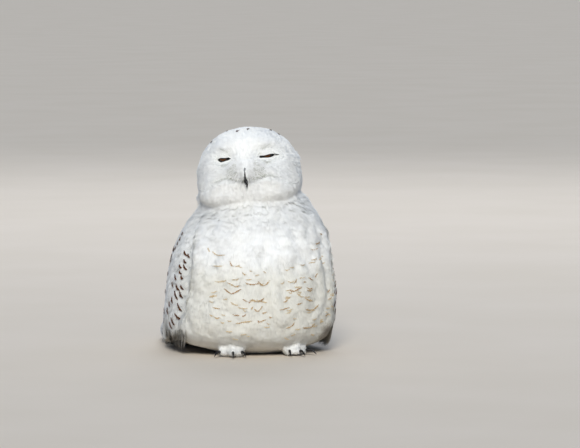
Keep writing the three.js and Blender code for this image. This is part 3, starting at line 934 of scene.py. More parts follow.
class OWL_OT_skin(bpy.types.Operator):
    """Makes the one skin under the coat, from the flesh of every part"""

    bl_idname = "owl.skin"
    bl_label = "Skin"

    def execute(self, context):
        form = joined_solids("form", FLESH + ["eye_right", "eye_left", "bill_upper", "bill_lower"])
        remeshed(form, 3.2 * MM, 6)
        keep_largest(form)
        mesh = form.data
        points, normals = points_of(mesh), points_of(mesh, "vertex_normals", "vector")
        region = Body.regions(points)
        rise = spread_over(mesh, sculpted(points, normals, region), 1)
        outer = points + normals * (rise * MM)[:, None]
        outer[:, 2] = np.maximum(outer[:, 2], 0)
        mesh.vertices.foreach_set("co", outer.astype(np.float32).ravel())
        mesh.update()
        Body.outer = Surface(mesh)
        depth = spread_over(mesh, coat_depth(points, region), 4)
        local = to_head(outer)
        bill = np.array((0, -74, 4))
        depth += 3.5 * np.exp(-(((local - bill) ** 2).sum(1) / (2 * 9.0**2)))
        for side in SIDES:
            away = np.linalg.norm(local - (EYES[side]["centre"] + 17 * EYES[side]["gaze"]), axis=1)
            depth += 5.0 * smoothstep(-away, -19, -11)
        normals = points_of(mesh, "vertex_normals", "vector")
        inner = outer - normals * (depth * MM)[:, None]
        inner[:, 2] = np.maximum(inner[:, 2], 0.6 * MM)
        mesh.vertices.foreach_set("co", inner.astype(np.float32).ravel())
        mesh.update()
        # The skin is greyed as painted shade in the gaps of the coat, more in the face's folds, and carries the
        # coat's painted shade under the wings.
        put_attribute(mesh, "tone", np.clip(0.12 + 0.7 * face_shade(outer), 0, 1))
        put_attribute(mesh, "mark", np.zeros(len(outer)))
        put_attribute(mesh, "soil", soil(outer))
        form.name = "skin"
        mesh.polygons.foreach_set("use_smooth", [True] * len(mesh.polygons))
        finish_piece(form, plumage_material(), FLESH)
        return {"FINISHED"}


def keep_largest(made):
    """Drops all but the largest connected shell."""
    mesh = made.data
    edges = np.zeros(len(mesh.edges) * 2, np.int32)
    mesh.edges.foreach_get("vertices", edges)
    edges = edges.reshape(-1, 2)
    label = np.arange(len(mesh.vertices))
    while True:
        low = np.minimum(label[edges[:, 0]], label[edges[:, 1]])
        before = label.copy()
        np.minimum.at(label, edges[:, 0], low)
        np.minimum.at(label, edges[:, 1], low)
        label = label[label]
        if (label == before).all():
            break
    kept = np.bincount(label).argmax()
    build = bmesh.new()
    build.from_mesh(mesh)
    build.verts.ensure_lookup_table()
    bmesh.ops.delete(build, geom=[build.verts[i] for i in np.nonzero(label != kept)[0]], context="VERTS")
    build.to_mesh(mesh)
    build.free()


class OWL_OT_eyes(bpy.types.Operator):
    """Makes the two wet eyeballs, amber round a dark pupil"""

    bl_idname = "owl.eyes"
    bl_label = "Eyes"

    def execute(self, context):
        settings = context.scene.owl_eyes

        def build(tree):
            away = add(tree, "ShaderNodeAttribute", attribute_name="gaze").outputs["Fac"]
            place = add(tree, "ShaderNodeTexCoord").outputs["Object"]
            # Fine spokes of the iris, 0.8 mm apart.
            spokes = add(tree, "ShaderNodeTexNoise", {"Scale": 900.0, "Detail": 2.0},
                {"Vector": place}).outputs["Fac"]
            pupil, iris = settings.pupil / 20, settings.iris_radius / 20
            # The iris is painted darker than its own yellow, as shade of the nearly shut lids.
            rings = ramp_colours(
                tree, away, (0, "#050404"), (pupil, "#070504"), (pupil + 0.03, "#3a1d08"),
                    (pupil + 0.1, settings.iris),
                (iris - 0.12, "#46270b"), (iris, "#0d0805"), (1, "#0a0706"),
            )
            colour = add(
                tree,
                "ShaderNodeMix",
                {"Factor": 0.35},
                {"A": rings, "B": spokes},
                data_type="RGBA",
                blend_type="MULTIPLY",
            )
            return add(
                tree,
                "ShaderNodeBsdfPrincipled",
                {"Roughness": 0.12, "Specular IOR Level": 0.3, "Coat Weight": 0.4, "Coat Roughness": 0.03},
                {"Base Color": in_use(colour.outputs, "Result")},
            )

        finish = material("cornea_wet", build)
        for side, sign in SIDES.items():
            ball = bmesh.new()
            bmesh.ops.create_uvsphere(ball, u_segments=64, v_segments=48, radius=1.0)
            points = np.array([v.co for v in ball.verts])
            faces = [[v.index for v in f.verts] for f in ball.faces]
            ball.free()
            eye = EYES[side]
            axes = np.stack([eye["along"], np.cross(eye["gaze"], eye["along"]), eye["gaze"]])
            # The mesh's pole looks along the gaze, so the iris has its finest rings there.
            # Above and below the lids' opening the ball keeps clear of the lids.
            clear = 0.15 + 1.6 * smoothstep(np.abs(points[:, 1]) * EYE_RADIUS, 5, 9)
            local = points @ axes * (EYE_RADIUS - clear)[:, None]
            # The dozing eye looks a little up and out, so the upper lid hides the pupil.
            look = unit(eye["gaze"] * EYE_RADIUS + eye["up"] * 3.4 + eye["along"] * sign * 1.5)
            gaze = np.arccos(np.clip(unit(local) @ look, -1, 1)) * EYE_RADIUS
            made = object_from("eyeball_" + side, from_head(local + eye["centre"]), faces)
            put_attribute(made.data, "gaze", gaze / 20)
            finish_piece(made, finish, ["eye_" + side])
        return {"FINISHED"}


class OWL_OT_lids(bpy.types.Operator):
    """Makes the four heavy eyelids, nearly shut"""

    bl_idname = "owl.lids"
    bl_label = "Eyelids"

    def execute(self, context):
        rings = (
            # offset outwards, height over the eyeball, share of the head's surface, depth below it, darkness
            # Darkness 1 to 0.2 is the black skin at the lids' edge; the 0.1 and 0.08 further out are painted
            # shade that greys the white lids.
            (0.0, -1.6, 0.0, 0, 1.0),
            (0.0, 0.25, 0.0, 0, 1.0),
            (0.3, 0.7, 0.0, 0, 0.9),
            (0.6, 0.9, 0.0, 0, 0.2),
            (1.2, 1.1, 0.0, 0, 0.0),
            (1.9, 1.0, 0.0, 0, 0.1),
            (3.0, 1.0, 0.15, 0.5, 0.1),
            (4.8, 0.9, 0.5, 0.6, 0.08),
            (7.0, 0.8, 1.0, 0.9, 0.08),
            (10.0, 0.5, 1.0, 1.6, 0.08),
            (12.5, 0.5, 1.0, 3.6, 0.08),
        )
        for side in SIDES:
            outline = slit_outline(side)
            tangent = unit(np.roll(outline, -1, 0) - np.roll(outline, 1, 0))
            outwards = np.stack([-tangent[:, 1], tangent[:, 0]], 1)
            if (outwards * outline).sum() < 0:
                outwards = -outwards
            for _ in range(3):
                outwards = unit(np.roll(outwards, 1, 0) + 2 * outwards + np.roll(outwards, -1, 0))
            points, dark = [], []
            for offset, rise, blend, depth, darkness in rings:
                points.append(on_lid(side, outline + outwards * offset, rise, blend, depth))
                dark += [darkness] * len(outline)
            count = len(outline)
            faces = []
            for ring in range(len(rings) - 1):
                for i in range(count):
                    a, b = ring * count + i, ring * count + (i + 1) % count
                    faces.append((a, b, b + count, a + count))
            made = object_from("lids_" + side, np.concatenate(points), faces)
            facing_out(made, HEAD_TURN @ EYES[side]["gaze"])
            evaluated(made, ("SUBSURF", {"levels": 1, "render_levels": 1}))
            values = np.array(dark, float)
            near = BVHTree.FromPolygons(np.concatenate(points).tolist(), faces)
            fine = points_of(made.data)
            owner = [faces[near.find_nearest(p)[2]][0] for p in fine.tolist()]
            put_attribute(made.data, "dark", values[owner])
            finish_piece(made, lid_material())
        return {"FINISHED"}


def facing_out(made, towards):
    """Turns a sheet's faces to look the given way."""
    mesh = made.data
    build = bmesh.new()
    build.from_mesh(mesh)
    bmesh.ops.recalc_face_normals(build, faces=build.faces)
    total = sum((f.normal * f.calc_area() for f in build.faces), Vector())
    if total.dot(Vector(towards)) < 0:
        bmesh.ops.reverse_faces(build, faces=build.faces)
    build.to_mesh(mesh)
    build.free()


def lid_material():
    def build(tree):
        dark = add(tree, "ShaderNodeAttribute", attribute_name="dark").outputs["Fac"]
        place = add(tree, "ShaderNodeTexCoord").outputs["Object"]
        grain = add(tree, "ShaderNodeTexNoise", {"Scale": 1100.0, "Detail": 3.0},
            {"Vector": place}).outputs["Fac"]
        colour = ramp_colours(tree, dark, (0, "#e9e9e4"), (0.4, "#b4b5ac"), (0.75, "#14100e"), (1, "#050404"))
        bump = add(tree, "ShaderNodeBump", {"Strength": 0.25, "Distance": 0.0003},
            {"Height": grain}).outputs["Normal"]
        return add(tree, "ShaderNodeBsdfPrincipled", {"Roughness": 0.8, "Specular IOR Level": 0.15},
            {"Base Color": colour, "Normal": bump})

    return material("lid_skin", build)


def sharpen_bill(mesh):
    """Narrows the upper bill to a hooked point, and its ridge to an edge."""
    local = to_head(points_of(mesh))
    narrow = np.interp(-local[:, 2], (-6, 0, 5, 9, 13), (1.0, 0.8, 1.05, 1.05, 0.9))
    front = smoothstep(-local[:, 1], 78, 86) * smoothstep(local[:, 2], -6, 4)
    local[:, 0] *= narrow * (1 - 0.6 * front)
    local[:, 0] += 1.2 * smoothstep(-local[:, 2], 0, 12)
    local[:, 2] -= 1.6 * smoothstep(-local[:, 2], 4, 13)
    mesh.vertices.foreach_set("co", from_head(local).astype(np.float32).ravel())
    mesh.update()


class OWL_OT_horn(bpy.types.Operator):
    """Makes the bill and the eight claws in smooth black horn"""

    bl_idname = "owl.horn"
    bl_label = "Bill and claws"

    def execute(self, context):
        def build(tree):
            place = add(tree, "ShaderNodeTexCoord").outputs["Object"]
            # Growth lines of horn, about 0.6 mm apart, over cloudy greys 6 mm across.
            cloud = add(tree, "ShaderNodeTexNoise", {"Scale": 160.0, "Detail": 3.0},
                {"Vector": place}).outputs["Fac"]
            lines = add(tree, "ShaderNodeTexNoise", {"Scale": 1500.0, "Detail": 2.0},
                {"Vector": place}).outputs["Fac"]
            colour = ramp_colours(tree, cloud, (0.3, "#0c0b0d"), (0.7, "#1b1a1c"))
            rough = add(
                tree, "ShaderNodeMapRange", {"To Min": 0.36, "To Max": 0.55}, {"Value": cloud}
            ).outputs["Result"]
            bump = add(tree, "ShaderNodeBump", {"Strength": 0.2, "Distance": 0.0002},
                {"Height": lines}).outputs["Normal"]
            return add(
                tree,
                "ShaderNodeBsdfPrincipled",
                {"Specular IOR Level": 0.4},
                {"Base Color": colour, "Roughness": rough, "Normal": bump},
            )

        finish = material("horn_black", build)
        for node in ["bill_upper", "bill_lower"] + ["claw_" + s + "_" + t for s in SIDES for t in TOES]:
            voxel = 0.55 if node.startswith("bill") else 0.42
            made = remeshed(joined_solids(node + "_horn", [node]), voxel * MM, 5)
            if node == "bill_upper":
                sharpen_bill(made.data)
            finish_piece(made, finish, [node])
        return {"FINISHED"}


class OWL_OT_coat_head(bpy.types.Operator):
    """Lays the fine feathers of the face, crown, cheeks and nape"""

    bl_idname = "owl.coat_head"
    bl_label = "Feathers of the head"

    def execute(self, context):
        settings = context.scene.owl_plumage
        surface = Body.outer
        head = region_ids("head")

        def of_head(points, normals):
            near = np.linalg.norm(to_head(points), axis=1) < 112
            found = np.zeros(len(points), bool)
            found[near] = np.isin(Body.regions(points[near]), head)
            return found & (to_head(points)[:, 2] > -52)

        def on_face(points):
            return smoothstep(-to_head(points)[:, 1], 20, 44)

        # The face: short fine tufts that ray out from the eyes and the bill.
        roots, normals = surface.scatter(
            lambda p, n: np.full(len(p), settings.face_gap), lambda p, n: of_head(p, n) & (on_face(p) > 0.5),
                11
        )
        local = to_head(roots)
        clear = np.minimum(beyond_slit(roots, "right"), beyond_slit(roots, "left")) > 1.3
        on_bill = to_bill(roots) < 1.2
        ridge = on_bill & (np.abs(local[:, 0]) < 1.1) & (local[:, 2] < 12)
        tip = on_bill & (local[:, 2] < 0)
        kept = clear & ~ridge & ~tip & open_to_air(surface, roots, normals, 0.012)
        roots, normals, local = roots[kept], normals[kept], local[kept]
        coat = Coat(surface, unwrap_head, 12)
        near_eye = np.minimum(beyond_slit(roots, "right"), beyond_slit(roots, "left"))
        short = smoothstep(near_eye, 1.5, 14)
        by_bill = np.exp(-((local - (0, -78, 8)) ** 2).sum(1) / (2 * 12.0**2))
        length = 3.2 + 5.6 * short + 2.5 * by_bill + coat.rng.uniform(-0.8, 0.8, len(roots))
        above = local[:, 2] - np.where(np.abs(local[:, 0]) < 4.5, 1.0, smile(local[:, 0]) - 1.0)
        length = np.where(above > -1, np.minimum(length, np.maximum(above, 2.2)), length) * MM
        width = (2.2 + 2.2 * short - 1.2 * by_bill) * MM
        lift = 0.2 + 0.5 * coat.rng.random(len(roots)) + 0.9 * by_bill
        tone = face_shade(roots) * coat.rng.uniform(0.0, 1.5, len(roots))
        coat.lay(
            roots, normals, lie_of_head(roots, normals), length, width,
            (-1.9 + 0 * lift, -0.25 + 0.2 * lift, lift), barbs=6, rows=2, tip=0.4, tone=tone, root_shade=0.2,
            tilt=0.13,
        )
        # Stiff tufts that part at the bill's ridge and hide its sides.
        starts, headings = [], []
        for z in np.arange(28, 3, -0.9):
            for sign in (-1, 1):
                for x in np.arange(0.9 - 0.8 * smoothstep(z, 9, 13), 7.5, 1.0):
                    starts.append((sign * x + coat.rng.uniform(-0.25, 0.25), -130,
                        z + coat.rng.uniform(-0.5, 0.5)))
                    headings.append((sign * (0.12 + 0.1 * x + 0.8 * smoothstep(-z, -9, -2)), 0, -0.75))
        found = [surface.hit(p, HEAD_TURN[:, 1]) for p in from_head(starts)]
        roots, normals = (np.array([f[i] for f in found]) for i in range(2))
        lift = 0.9 + 0.9 * coat.rng.random(len(roots))
        coat.lay(
            roots, normals, across(np.array(headings) @ HEAD_TURN.T, normals),
            np.minimum(6.5 + 4 * coat.rng.random(len(roots)), 1.15 * np.array(starts)[:, 2]) * MM, 2.2 * MM,
            (0.1 + 0 * lift, 0.5 + 0.4 * lift, lift), barbs=5, rows=3,
            tone=0.03 + 0.16 * coat.rng.random(len(roots)), root_shade=0.1,
        )
        coat.make("feathers_face", plumage_material())

        # Crown, cheeks, chin and nape: longer tufts, and a loose ruff over the neck.
        roots, normals = surface.scatter(
            lambda p, n: np.full(len(p), settings.head_gap), lambda p,
                n: of_head(p, n) & (on_face(p) <= 0.5), 13
        )
        coat = Coat(surface, unwrap_head, 14)
        local = to_head(roots)
        low = smoothstep(-local[:, 2], 5, 40)
        chin = low * smoothstep(-local[:, 1], 0, 40)
        length = (9 + 6 * low + 4 * chin + coat.rng.uniform(-1.5, 1.5, len(roots))) * MM
        width = (5 + 2.5 * low + 1.5 * chin) * MM
        lift = 0.3 + 0.9 * coat.rng.random(len(roots)) + 0.8 * low
        coat.lay(
            roots, normals, lie_of_head(roots, normals), length, width,
            (-4 + 0 * lift, -0.6 + 0.2 * lift, lift), barbs=8, rows=3,
            tone=0.02 + 0.1 * coat.rng.random(len(roots)) + 0.1 * np.clip(waves(roots, 11 * MM, 71), 0, 1),
            lean=0.5 * low, tilt=0.16,
        )
        # A few feathers stand out over the left cheek.
        ruffled = from_head((74.5, 3, 26) + coat.rng.normal(0, 1, (9, 3)) * (0.5, 4, 4))
        roots, normals = surface.nearest(ruffled)
        coat.lay(
            roots, normals, lie_of_head(roots, normals), 10 * MM, 5 * MM,
            (-2 + np.zeros(9), 1.2 + np.zeros(9), 2.5 + 2.0 * coat.rng.random(9)), barbs=8, rows=3, tone=0.05,
        )
        coat.make("feathers_crown_and_nape", plumage_material())
        return {"FINISHED"}


class OWL_OT_coat_body(bpy.types.Operator):
    """Lays the feathers of the neck, breast, belly, flanks and back"""

    bl_idname = "owl.coat_body"
    bl_label = "Feathers of the body"

    def execute(self, context):
        settings = context.scene.owl_plumage
        surface = Body.outer
        flesh = region_ids("neck", "trunk", "leg")

        def of_body(points, normals):
            return np.isin(Body.regions(points), flesh) & ~((points[:, 2] < 4 * MM) & (normals[:, 2] < -0.5))

        areas = (
            ("feathers_breast", lambda p: (p[:, 1] < -62 * MM) & (p[:, 2] >= 128 * MM), settings.breast_gap,
            21),
            ("feathers_belly", lambda p: (p[:, 1] < -62 * MM) & (p[:, 2] < 128 * MM), settings.breast_gap,
            23),
            ("feathers_back", lambda p: p[:, 1] >= -62 * MM, settings.back_gap, 25),
        )
        for name, inside, gap, seed in areas:
            roots, normals = surface.scatter(
                lambda p, n: np.full(len(p), gap), lambda p, n: of_body(p, n) & inside(p), seed
            )
            free = open_to_air(surface, roots, normals)
            roots, normals = roots[free], normals[free]
            region = Body.regions(roots)
            coat = Coat(surface, unwrap_body, seed + 1)
            count = len(roots)
            neck = smoothstep(roots[:, 2], 190 * MM, 215 * MM)
            length = (21 - 8 * neck + coat.rng.uniform(-3, 3, count)) * MM
            width = (13.5 - 6 * neck + coat.rng.uniform(-2, 2, count)) * MM
            loose = np.clip(0.5 + 0.5 * waves(roots, 30 * MM, 50), 0, 1)
            lift = 0.1 + 0.9 * coat.rng.random(count) * loose
            depth = np.where(roots[:, 1] < -62 * MM, 5.0, 4.0)
            low = np.where(roots[:, 2] < 14 * MM, 0.2, 1.0)
            coat.lay(
                roots, normals, lie_of_body(roots, normals, region), length, width,
                (-depth * low, -0.12 * depth * low, lift * low), barbs=13, rows=3,
                tone=0.02 + 0.05 * coat.rng.random(count),
                root_shade=0.16 - 0.12 * neck[:, None, None], lean=0.35 * neck,
                    tilt=(0.09 - 0.06 * neck)[:, None, None],
            )
            coat.make(name, plumage_material())
        return {"FINISHED"}


class OWL_OT_coat_wings(bpy.types.Operator):
    """Lays the coverts of both folded wings, and the tufts of the feet"""

    bl_idname = "owl.coat_wings"
    bl_label = "Wing coverts and feet"

    def execute(self, context):
        settings = context.scene.owl_plumage
        surface = Body.outer
        for side, sign in SIDES.items():
            wing = region_ids("wing_" + side, "primaries_" + side)
            shoulder = np.array((sign * 95, -85, 195)) * MM

            def spacing(points, normals):
                along = np.linalg.norm(points - shoulder, axis=1) / MM
                return settings.wing_gap * (1 + 0.7 * smoothstep(along, 30, 190))

            roots, normals = surface.scatter(spacing, lambda p, n: np.isin(Body.regions(p), wing), 31)
            free = open_to_air(surface, roots, normals) & (roots[:, 0] * sign > 0.02)
            roots, normals = roots[free], normals[free]
            coat = Coat(surface, unwrap_side, 33)
            along = smoothstep(np.linalg.norm(roots - shoulder, axis=1) / MM, 30, 200)
            count = len(roots)
            length = (20 + 18 * along + coat.rng.uniform(-2, 2, count)) * MM
            width = (14 + 6 * along + coat.rng.uniform(-1, 1, count)) * MM
            lift = 0.2 + 0.9 * coat.rng.random(count)
            coat.lay(
                roots, normals, lie_of_body(roots, normals, Body.regions(roots)), length, width,
                (-3 + 0 * lift, -0.5 + 0 * lift, lift), barbs=21, rows=3, cup=0.09, fray=0.03, tip=0.35,
                tone=0.02 + 0.1 * coat.rng.random(count), root_shade=0.7,
            )
            coat.make("coverts_" + side, plumage_material())
        feet = region_ids("foot")
        roots, normals = surface.scatter(
            lambda p, n: np.full(len(p), 3.4 * MM),
            lambda p, n: np.isin(Body.regions(p), feet) & (p[:, 2] > 1.5 * MM),
            35,
        )
        coat = Coat(surface, unwrap_top, 36)
        coat.lay(
            roots, normals, lie_of_body(roots, normals, Body.regions(roots)), 7 * MM, 4.5 * MM,
            (-2.0 + np.zeros(len(roots)), -0.3 + np.zeros(len(roots)),
            0.3 + 0.5 * coat.rng.random(len(roots))),
            barbs=6, rows=2, tone=0.1 + 0.1 * coat.rng.random(len(roots)),
        )
        coat.make("feathers_feet", plumage_material())
        return {"FINISHED"}


def vane_material():
    """Flight feathers: stiff white keratin, faintly glossy, with fine barbs and broken brown bars."""

    def build(tree):
        tone = add(tree, "ShaderNodeAttribute", attribute_name="tone").outputs["Fac"]
        marked = add(tree, "ShaderNodeAttribute", attribute_name="mark").outputs["Fac"]
        barbs = add(tree, "ShaderNodeAttribute", attribute_name="barb").outputs["Fac"]
        wave = add(tree, "ShaderNodeMath", {1: 6.283}, {0: barbs}, operation="MULTIPLY").outputs[0]
        ridge = add(tree, "ShaderNodeMath", links={0: wave}, operation="SINE").outputs[0]
        # tone greys the white as painted shade at the vanes' edges and roots.
        base = ramp_colours(tree, tone, (0, "#f6f5f2"), (1, "#a5a8a8"))
        brown = ramp_colours(tree, marked, (0.25, "#ffffff"), (0.65, "#4d3a2b"))
        colour = add(
            tree, "ShaderNodeMix", {"Factor": 1.0}, {"A": base, "B": brown}, data_type="RGBA",
                blend_type="MULTIPLY"
        )
        bump = add(tree, "ShaderNodeBump", {"Strength": 0.35, "Distance": 0.0003},
            {"Height": ridge}).outputs["Normal"]
        return add(
            tree,
            "ShaderNodeBsdfPrincipled",
            {"Roughness": 0.75, "Specular IOR Level": 0.25, "Sheen Weight": 0.1},
            {"Base Color": in_use(colour.outputs, "Result"), "Normal": bump},
        )

    return material("flight_keratin", build)


def bar_phase(rng, length, gap):
    """Where a feather's bars start, counted in gaps, so that the last one lies about 12 mm before its tip."""
    return (length / MM - 12 + rng.uniform(-7, 7)) / gap


def vanes(surface, unwrap, starts, headings, lengths, widths, height, seed, bars=0.0, along=30, over=9):
    """Long feathers as cambered blades with a raised shaft, laid over the surface in the order given."""
    rng = np.random.default_rng(seed)
    bar_gap = 27.0
    points, faces, tone, mark, barb, uv = [], [], [], [], [], []
    for number, (start, heading, length, width) in enumerate(zip(starts, headings, lengths, widths)):
        at = np.array([start])
        where, normal = surface.nearest(at)
        forward = across(np.array([heading]), normal)
        path, facing = [where[0]], [normal[0]]
        step = length / along
        for _ in range(along):
            where, normal = surface.nearest(path[-1][None] + forward * step)
            moved = where - path[-1]
            forward = unit(0.5 * across(moved, normal) + 0.5 * across(np.array([heading]), normal))
            path.append(where[0])
            facing.append(normal[0])
        path, facing = np.array(path), unit(np.array(facing))
        for _ in range(2):
            path[1:-1] = (path[:-2] + 2 * path[1:-1] + path[2:]) / 4
            facing[1:-1] = unit(facing[:-2] + 2 * facing[1:-1] + facing[2:])
        ahead = unit(np.gradient(path, axis=0))
        side = np.cross(ahead, facing)
        s = np.linspace(0, 1, along + 1)
        half = width / 2 * np.minimum(1,
            0.45 + 2.2 * s) * np.sqrt(np.clip(1 - ((s - 0.72) / 0.28).clip(0) ** 2.4, 0.0, 1))
        first = sum(len(p) for p in points)
        across_u = np.linspace(-1, 1, over)
        base = unwrap(np.array([start]))[0]
        lift = (height + 0.5 * (number % 4)) * MM
        grid, grey, dark, lines, patch = [], [], [], [], []
        bar_at = -bar_phase(rng, length, bar_gap)
        strength, shade = rng.uniform(0.5, 1.0), rng.uniform(0, 0.2)
        for i, where in enumerate(path):
            for u in across_u:
                ragged = rng.uniform(-0.5, 0.5) * MM * (abs(u) > 0.9)
                rooted = float(smoothstep(s[i], 0, 0.35))
                rise = lift * rooted - 1.5 * MM * (1 - rooted) - 0.10 * width * u * u + 0.5 * MM * max(0,
                    1 - abs(u) * 5)
                grid.append(where + side[i] * (u * half[i] + ragged) + facing[i] * rise)
                # Painted shade: greyer at the edges, where the next feather overlaps, and towards the root; the
                # shaft is greyer and each feather greyer by a random amount.
                grey.append(0.08 + 0.6 * abs(u) ** 4 + 0.15 * (1 - s[i]) + 0.2 * (u == 0) + shade)
                phase = (s[i] * length / (bar_gap * MM) + bar_at - 0.16 * abs(u) + 0.5) % 1 - 0.5
                dark.append(
                    bars * strength * math.exp(-((phase * bar_gap / 2.4) ** 2)) * (abs(u) < 0.8) * (abs(u) > 0.15)
                )
                lines.append((s[i] * length + abs(u) * half[i] * -0.8) / (0.9 * MM))
                patch.append(base + 0.003 * np.array((u / 2, s[i] - 0.5)))
        for i in range(along):
            for j in range(over - 1):
                a = first + i * over + j
                faces.append((a, a + over, a + over + 1, a + 1))
        points.append(np.array(grid))
        tone += grey
        mark += dark
        barb += lines
        uv.append(np.array(patch))
    points = np.concatenate(points)
    points[:, 2] = np.maximum(points[:, 2], 0.3 * MM)
    return points, np.array(faces), tone, mark, barb, np.concatenate(uv)


def make_vanes(name, parts):
    points = np.concatenate([p[0] for p in parts])
    starts = np.cumsum([0] + [len(p[0]) for p in parts[:-1]])
    faces = np.concatenate([p[1] + start for p, start in zip(parts, starts)])
    made = object_from(name, points, faces)
    for index, key in ((2, "tone"), (3, "mark"), (4, "barb")):
        put_attribute(made.data, key, np.concatenate([p[index] for p in parts]))
    uv = np.concatenate([p[5] for p in parts])
    layer = made.data.uv_layers.new(name="OFBake")
    layer.uv.foreach_set("vector", uv[faces.ravel()].astype(np.float32).ravel())
    return finish_piece(made, vane_material())


class OWL_OT_flight_feathers(bpy.types.Operator):
    """Makes the long feathers of the wings and the fan of the tail"""

    bl_idname = "owl.flight_feathers"
    bl_label = "Flight feathers"

    def execute(self, context):
        surface = Body.outer
        for side, sign in SIDES.items():
            starts, lengths, widths = [], [], []
            # Secondaries, from the belly side up to the back, then primaries from the inner to the outer.
            for k in range(9):
                t = k / 8
                starts.append((sign * 120, -38 + 62 * t, 52 + 92 * t))
                lengths.append((88 + 6 * math.sin(math.pi * t)) * MM)
                widths.append(21 * MM)
            for k in range(8):
                t = k / 7
                starts.append((sign * 105, 22 + 26 * t, 62 - 42 * t))
                lengths.append((96 + 26 * t) * MM)
                widths.append((17 - 3 * t) * MM)
            starts = np.array(starts) * MM
            tip = np.array((sign * 40, 176, 4)) * MM
            headings = unit(tip - starts + np.array((0, 0.02, 0)))
            part = vanes(surface, unwrap_side, starts, headings, lengths, widths, 0.9, 41 + sign, 0.75)
            make_vanes("flight_feathers_" + side, [part])
            # Greater coverts hide the roots of the flight feathers.
            coat = Coat(surface, unwrap_side, 49)
            for back in (-10, 4):
                inner = starts + headings * back * MM
                inner = np.concatenate([inner, (inner[:-1] + inner[1:]) / 2])
                roots, normals = surface.nearest(inner)
                count = len(roots)
                coat.lay(
                    roots, normals, lie_of_body(roots, normals, Body.regions(roots)),
                    coat.rng.uniform(30, 38, count) * MM, 17 * MM,
                    (-2.5 + np.zeros(count), 1.0 + np.zeros(count), 1.9 + 0.8 * coat.rng.random(count)),
                    barbs=21, rows=4, fray=0.03, tip=0.35, tone=0.03 + 0.12 * coat.rng.random(count),
                        root_shade=0.4,
                )
            coat.make("greater_coverts_" + side, plumage_material())
            # Tips of the inner flight feathers hang under the wing's lower edge, painted dark grey-brown as the
            # shade under the wing, with paler ones over them.
            rows = (("wing_tips_dusky_", False, 42, 15, 0.8, 24), ("wing_tips_", True, 36, 16, 0.1, 12))
            for name, pale, reach, wide, shade_amount, count in rows:
                coat = Coat(surface, unwrap_side, 70)
                y = np.linspace(-112, 34, count) + coat.rng.uniform(-2.5, 2.5, count)
                low = np.interp(y, (-112, -90, 30), (8, 3, 8)) + coat.rng.uniform(0, 3.5, count)
                z = 43 - 0.25 * (y + 117) + coat.rng.uniform(-4, 4, count) if pale else low
                out = np.interp(y, (-112, -84, -30, 0, 34), (119, 122, 121, 117, 109))
                x = sign * (out + (1 if pale else -4) - 0.25 * np.maximum(30 - z, 0))
                tips = np.stack([x, y, z], 1) * MM
                rise = np.stack([x * 0 + sign * 3.0, x * 0 - 0.62 * reach, x * 0 + 0.8 * reach], 1) * MM
                roots, _ = surface.nearest(tips + rise)
                facing = np.broadcast_to(unit(np.array((sign, 0.05, -0.1))), tips.shape)
                coat.lay(
                    roots, facing, unit(tips - roots), 1.0, wide * MM,
                    (0.2 + 0 * x, 1.6 + 0 * x, 1.0 + 0.8 * coat.rng.random(count)), barbs=23, rows=4,
                    fray=0.03,
                    tip=0.25, tone=0.05 + 0.1 * coat.rng.random(count), root_shade=0.3, tips=(tips, facing),
                        shade_amount=shade_amount,
                )
                coat.make(name + side, plumage_material())
        starts, lengths, widths, headings = [], [], [], []
        for k in range(12):
            # The middle pair lies on top, so the outer feathers come first.
            order = (11 - k) // 2
            t = (order + 0.5) / 6 * (1 if k % 2 else -1)
            starts.append((t * 22, 62, 60))
            headings.append((0.15 * t, 1, -0.3))
            lengths.append((144 - 5 * t * t) * MM)
            widths.append(19 * MM)
        part = vanes(surface, unwrap_top, np.array(starts) * MM, unit(np.array(headings)), lengths, widths,
            0.6, 47, 0.7)
        make_vanes("tail_feathers", [part])
        # Soft coverts reach from the rump over the roots of the tail feathers.
        coat = Coat(surface, unwrap_top, 48)
        for start, low, reach, high in ((90, 79, 146, 1.5), (86, 84, 134, 3), (81, 90, 122, 6),
            (74, 98, 108, 12)):
            x = np.linspace(-30, 30, 14) + coat.rng.uniform(-1.5, 1.5, 14)
            roots, normals = surface.nearest(np.stack([x * 0.85, x * 0 + start, x * 0 + low], 1) * MM)
            tips = np.stack([x * 1.1, x * 0 + reach - abs(x) * 0.2,
                x * 0 + 45 - 0.375 * (reach - 101) + high], 1) * MM
            facing = np.broadcast_to(unit(np.array((0, 0.45, 0.9))), tips.shape)
            coat.lay(
                roots, normals, unit(tips - roots), 1.0, 15 * MM,
                    (-2.5 + 0 * x, 1.6 + 0 * x, 0.5 + coat.rng.random(14)),
                barbs=21, rows=4, fray=0.04, tip=0.3, tone=0.03 + 0.12 * coat.rng.random(14), root_shade=0.45,
                tips=(tips, facing),
            )
        coat.make("tail_coverts", plumage_material())
        return {"FINISHED"}


def mark_material(name, pale, dark):
    """Barbs of white keratin coloured by melanin, or greyed as painted shade on the face: matt, from faint buff
    to dark brown.
    """

    def build(tree):
        marked = add(tree, "ShaderNodeAttribute", attribute_name="mark").outputs["Fac"]
        colour = ramp_colours(tree, marked, (0, pale), (1, dark))
        return add(
            tree, "ShaderNodeBsdfPrincipled", {"Roughness": 0.9, "Specular IOR Level": 0.2},
                {"Base Color": colour}
        )

    return material(name, build)


def bar_roots(surface, path, spacing, scatter, rng):
    """Points of the surface along a short line, jittered a little across it."""
    steps = np.linalg.norm(np.diff(path, axis=0), axis=1)
    reach = np.concatenate([[0], np.cumsum(steps)])
    count = max(3, int(reach[-1] / spacing))
    s = np.linspace(0, reach[-1], count)
    points = np.stack([np.interp(s, reach, path[:, i]) for i in range(3)], 1)
    points += rng.normal(0, 1, points.shape) * scatter
    where, normals = surface.nearest(points)
    return where, normals, s / reach[-1]


def towards_view():
    """Heading from the bird to the camera of the main view."""
    level = math.cos(VIEW_ELEVATION)
    return np.array((math.sin(VIEW_AZIMUTH) * level, -math.cos(VIEW_AZIMUTH) * level,
        math.sin(VIEW_ELEVATION)))


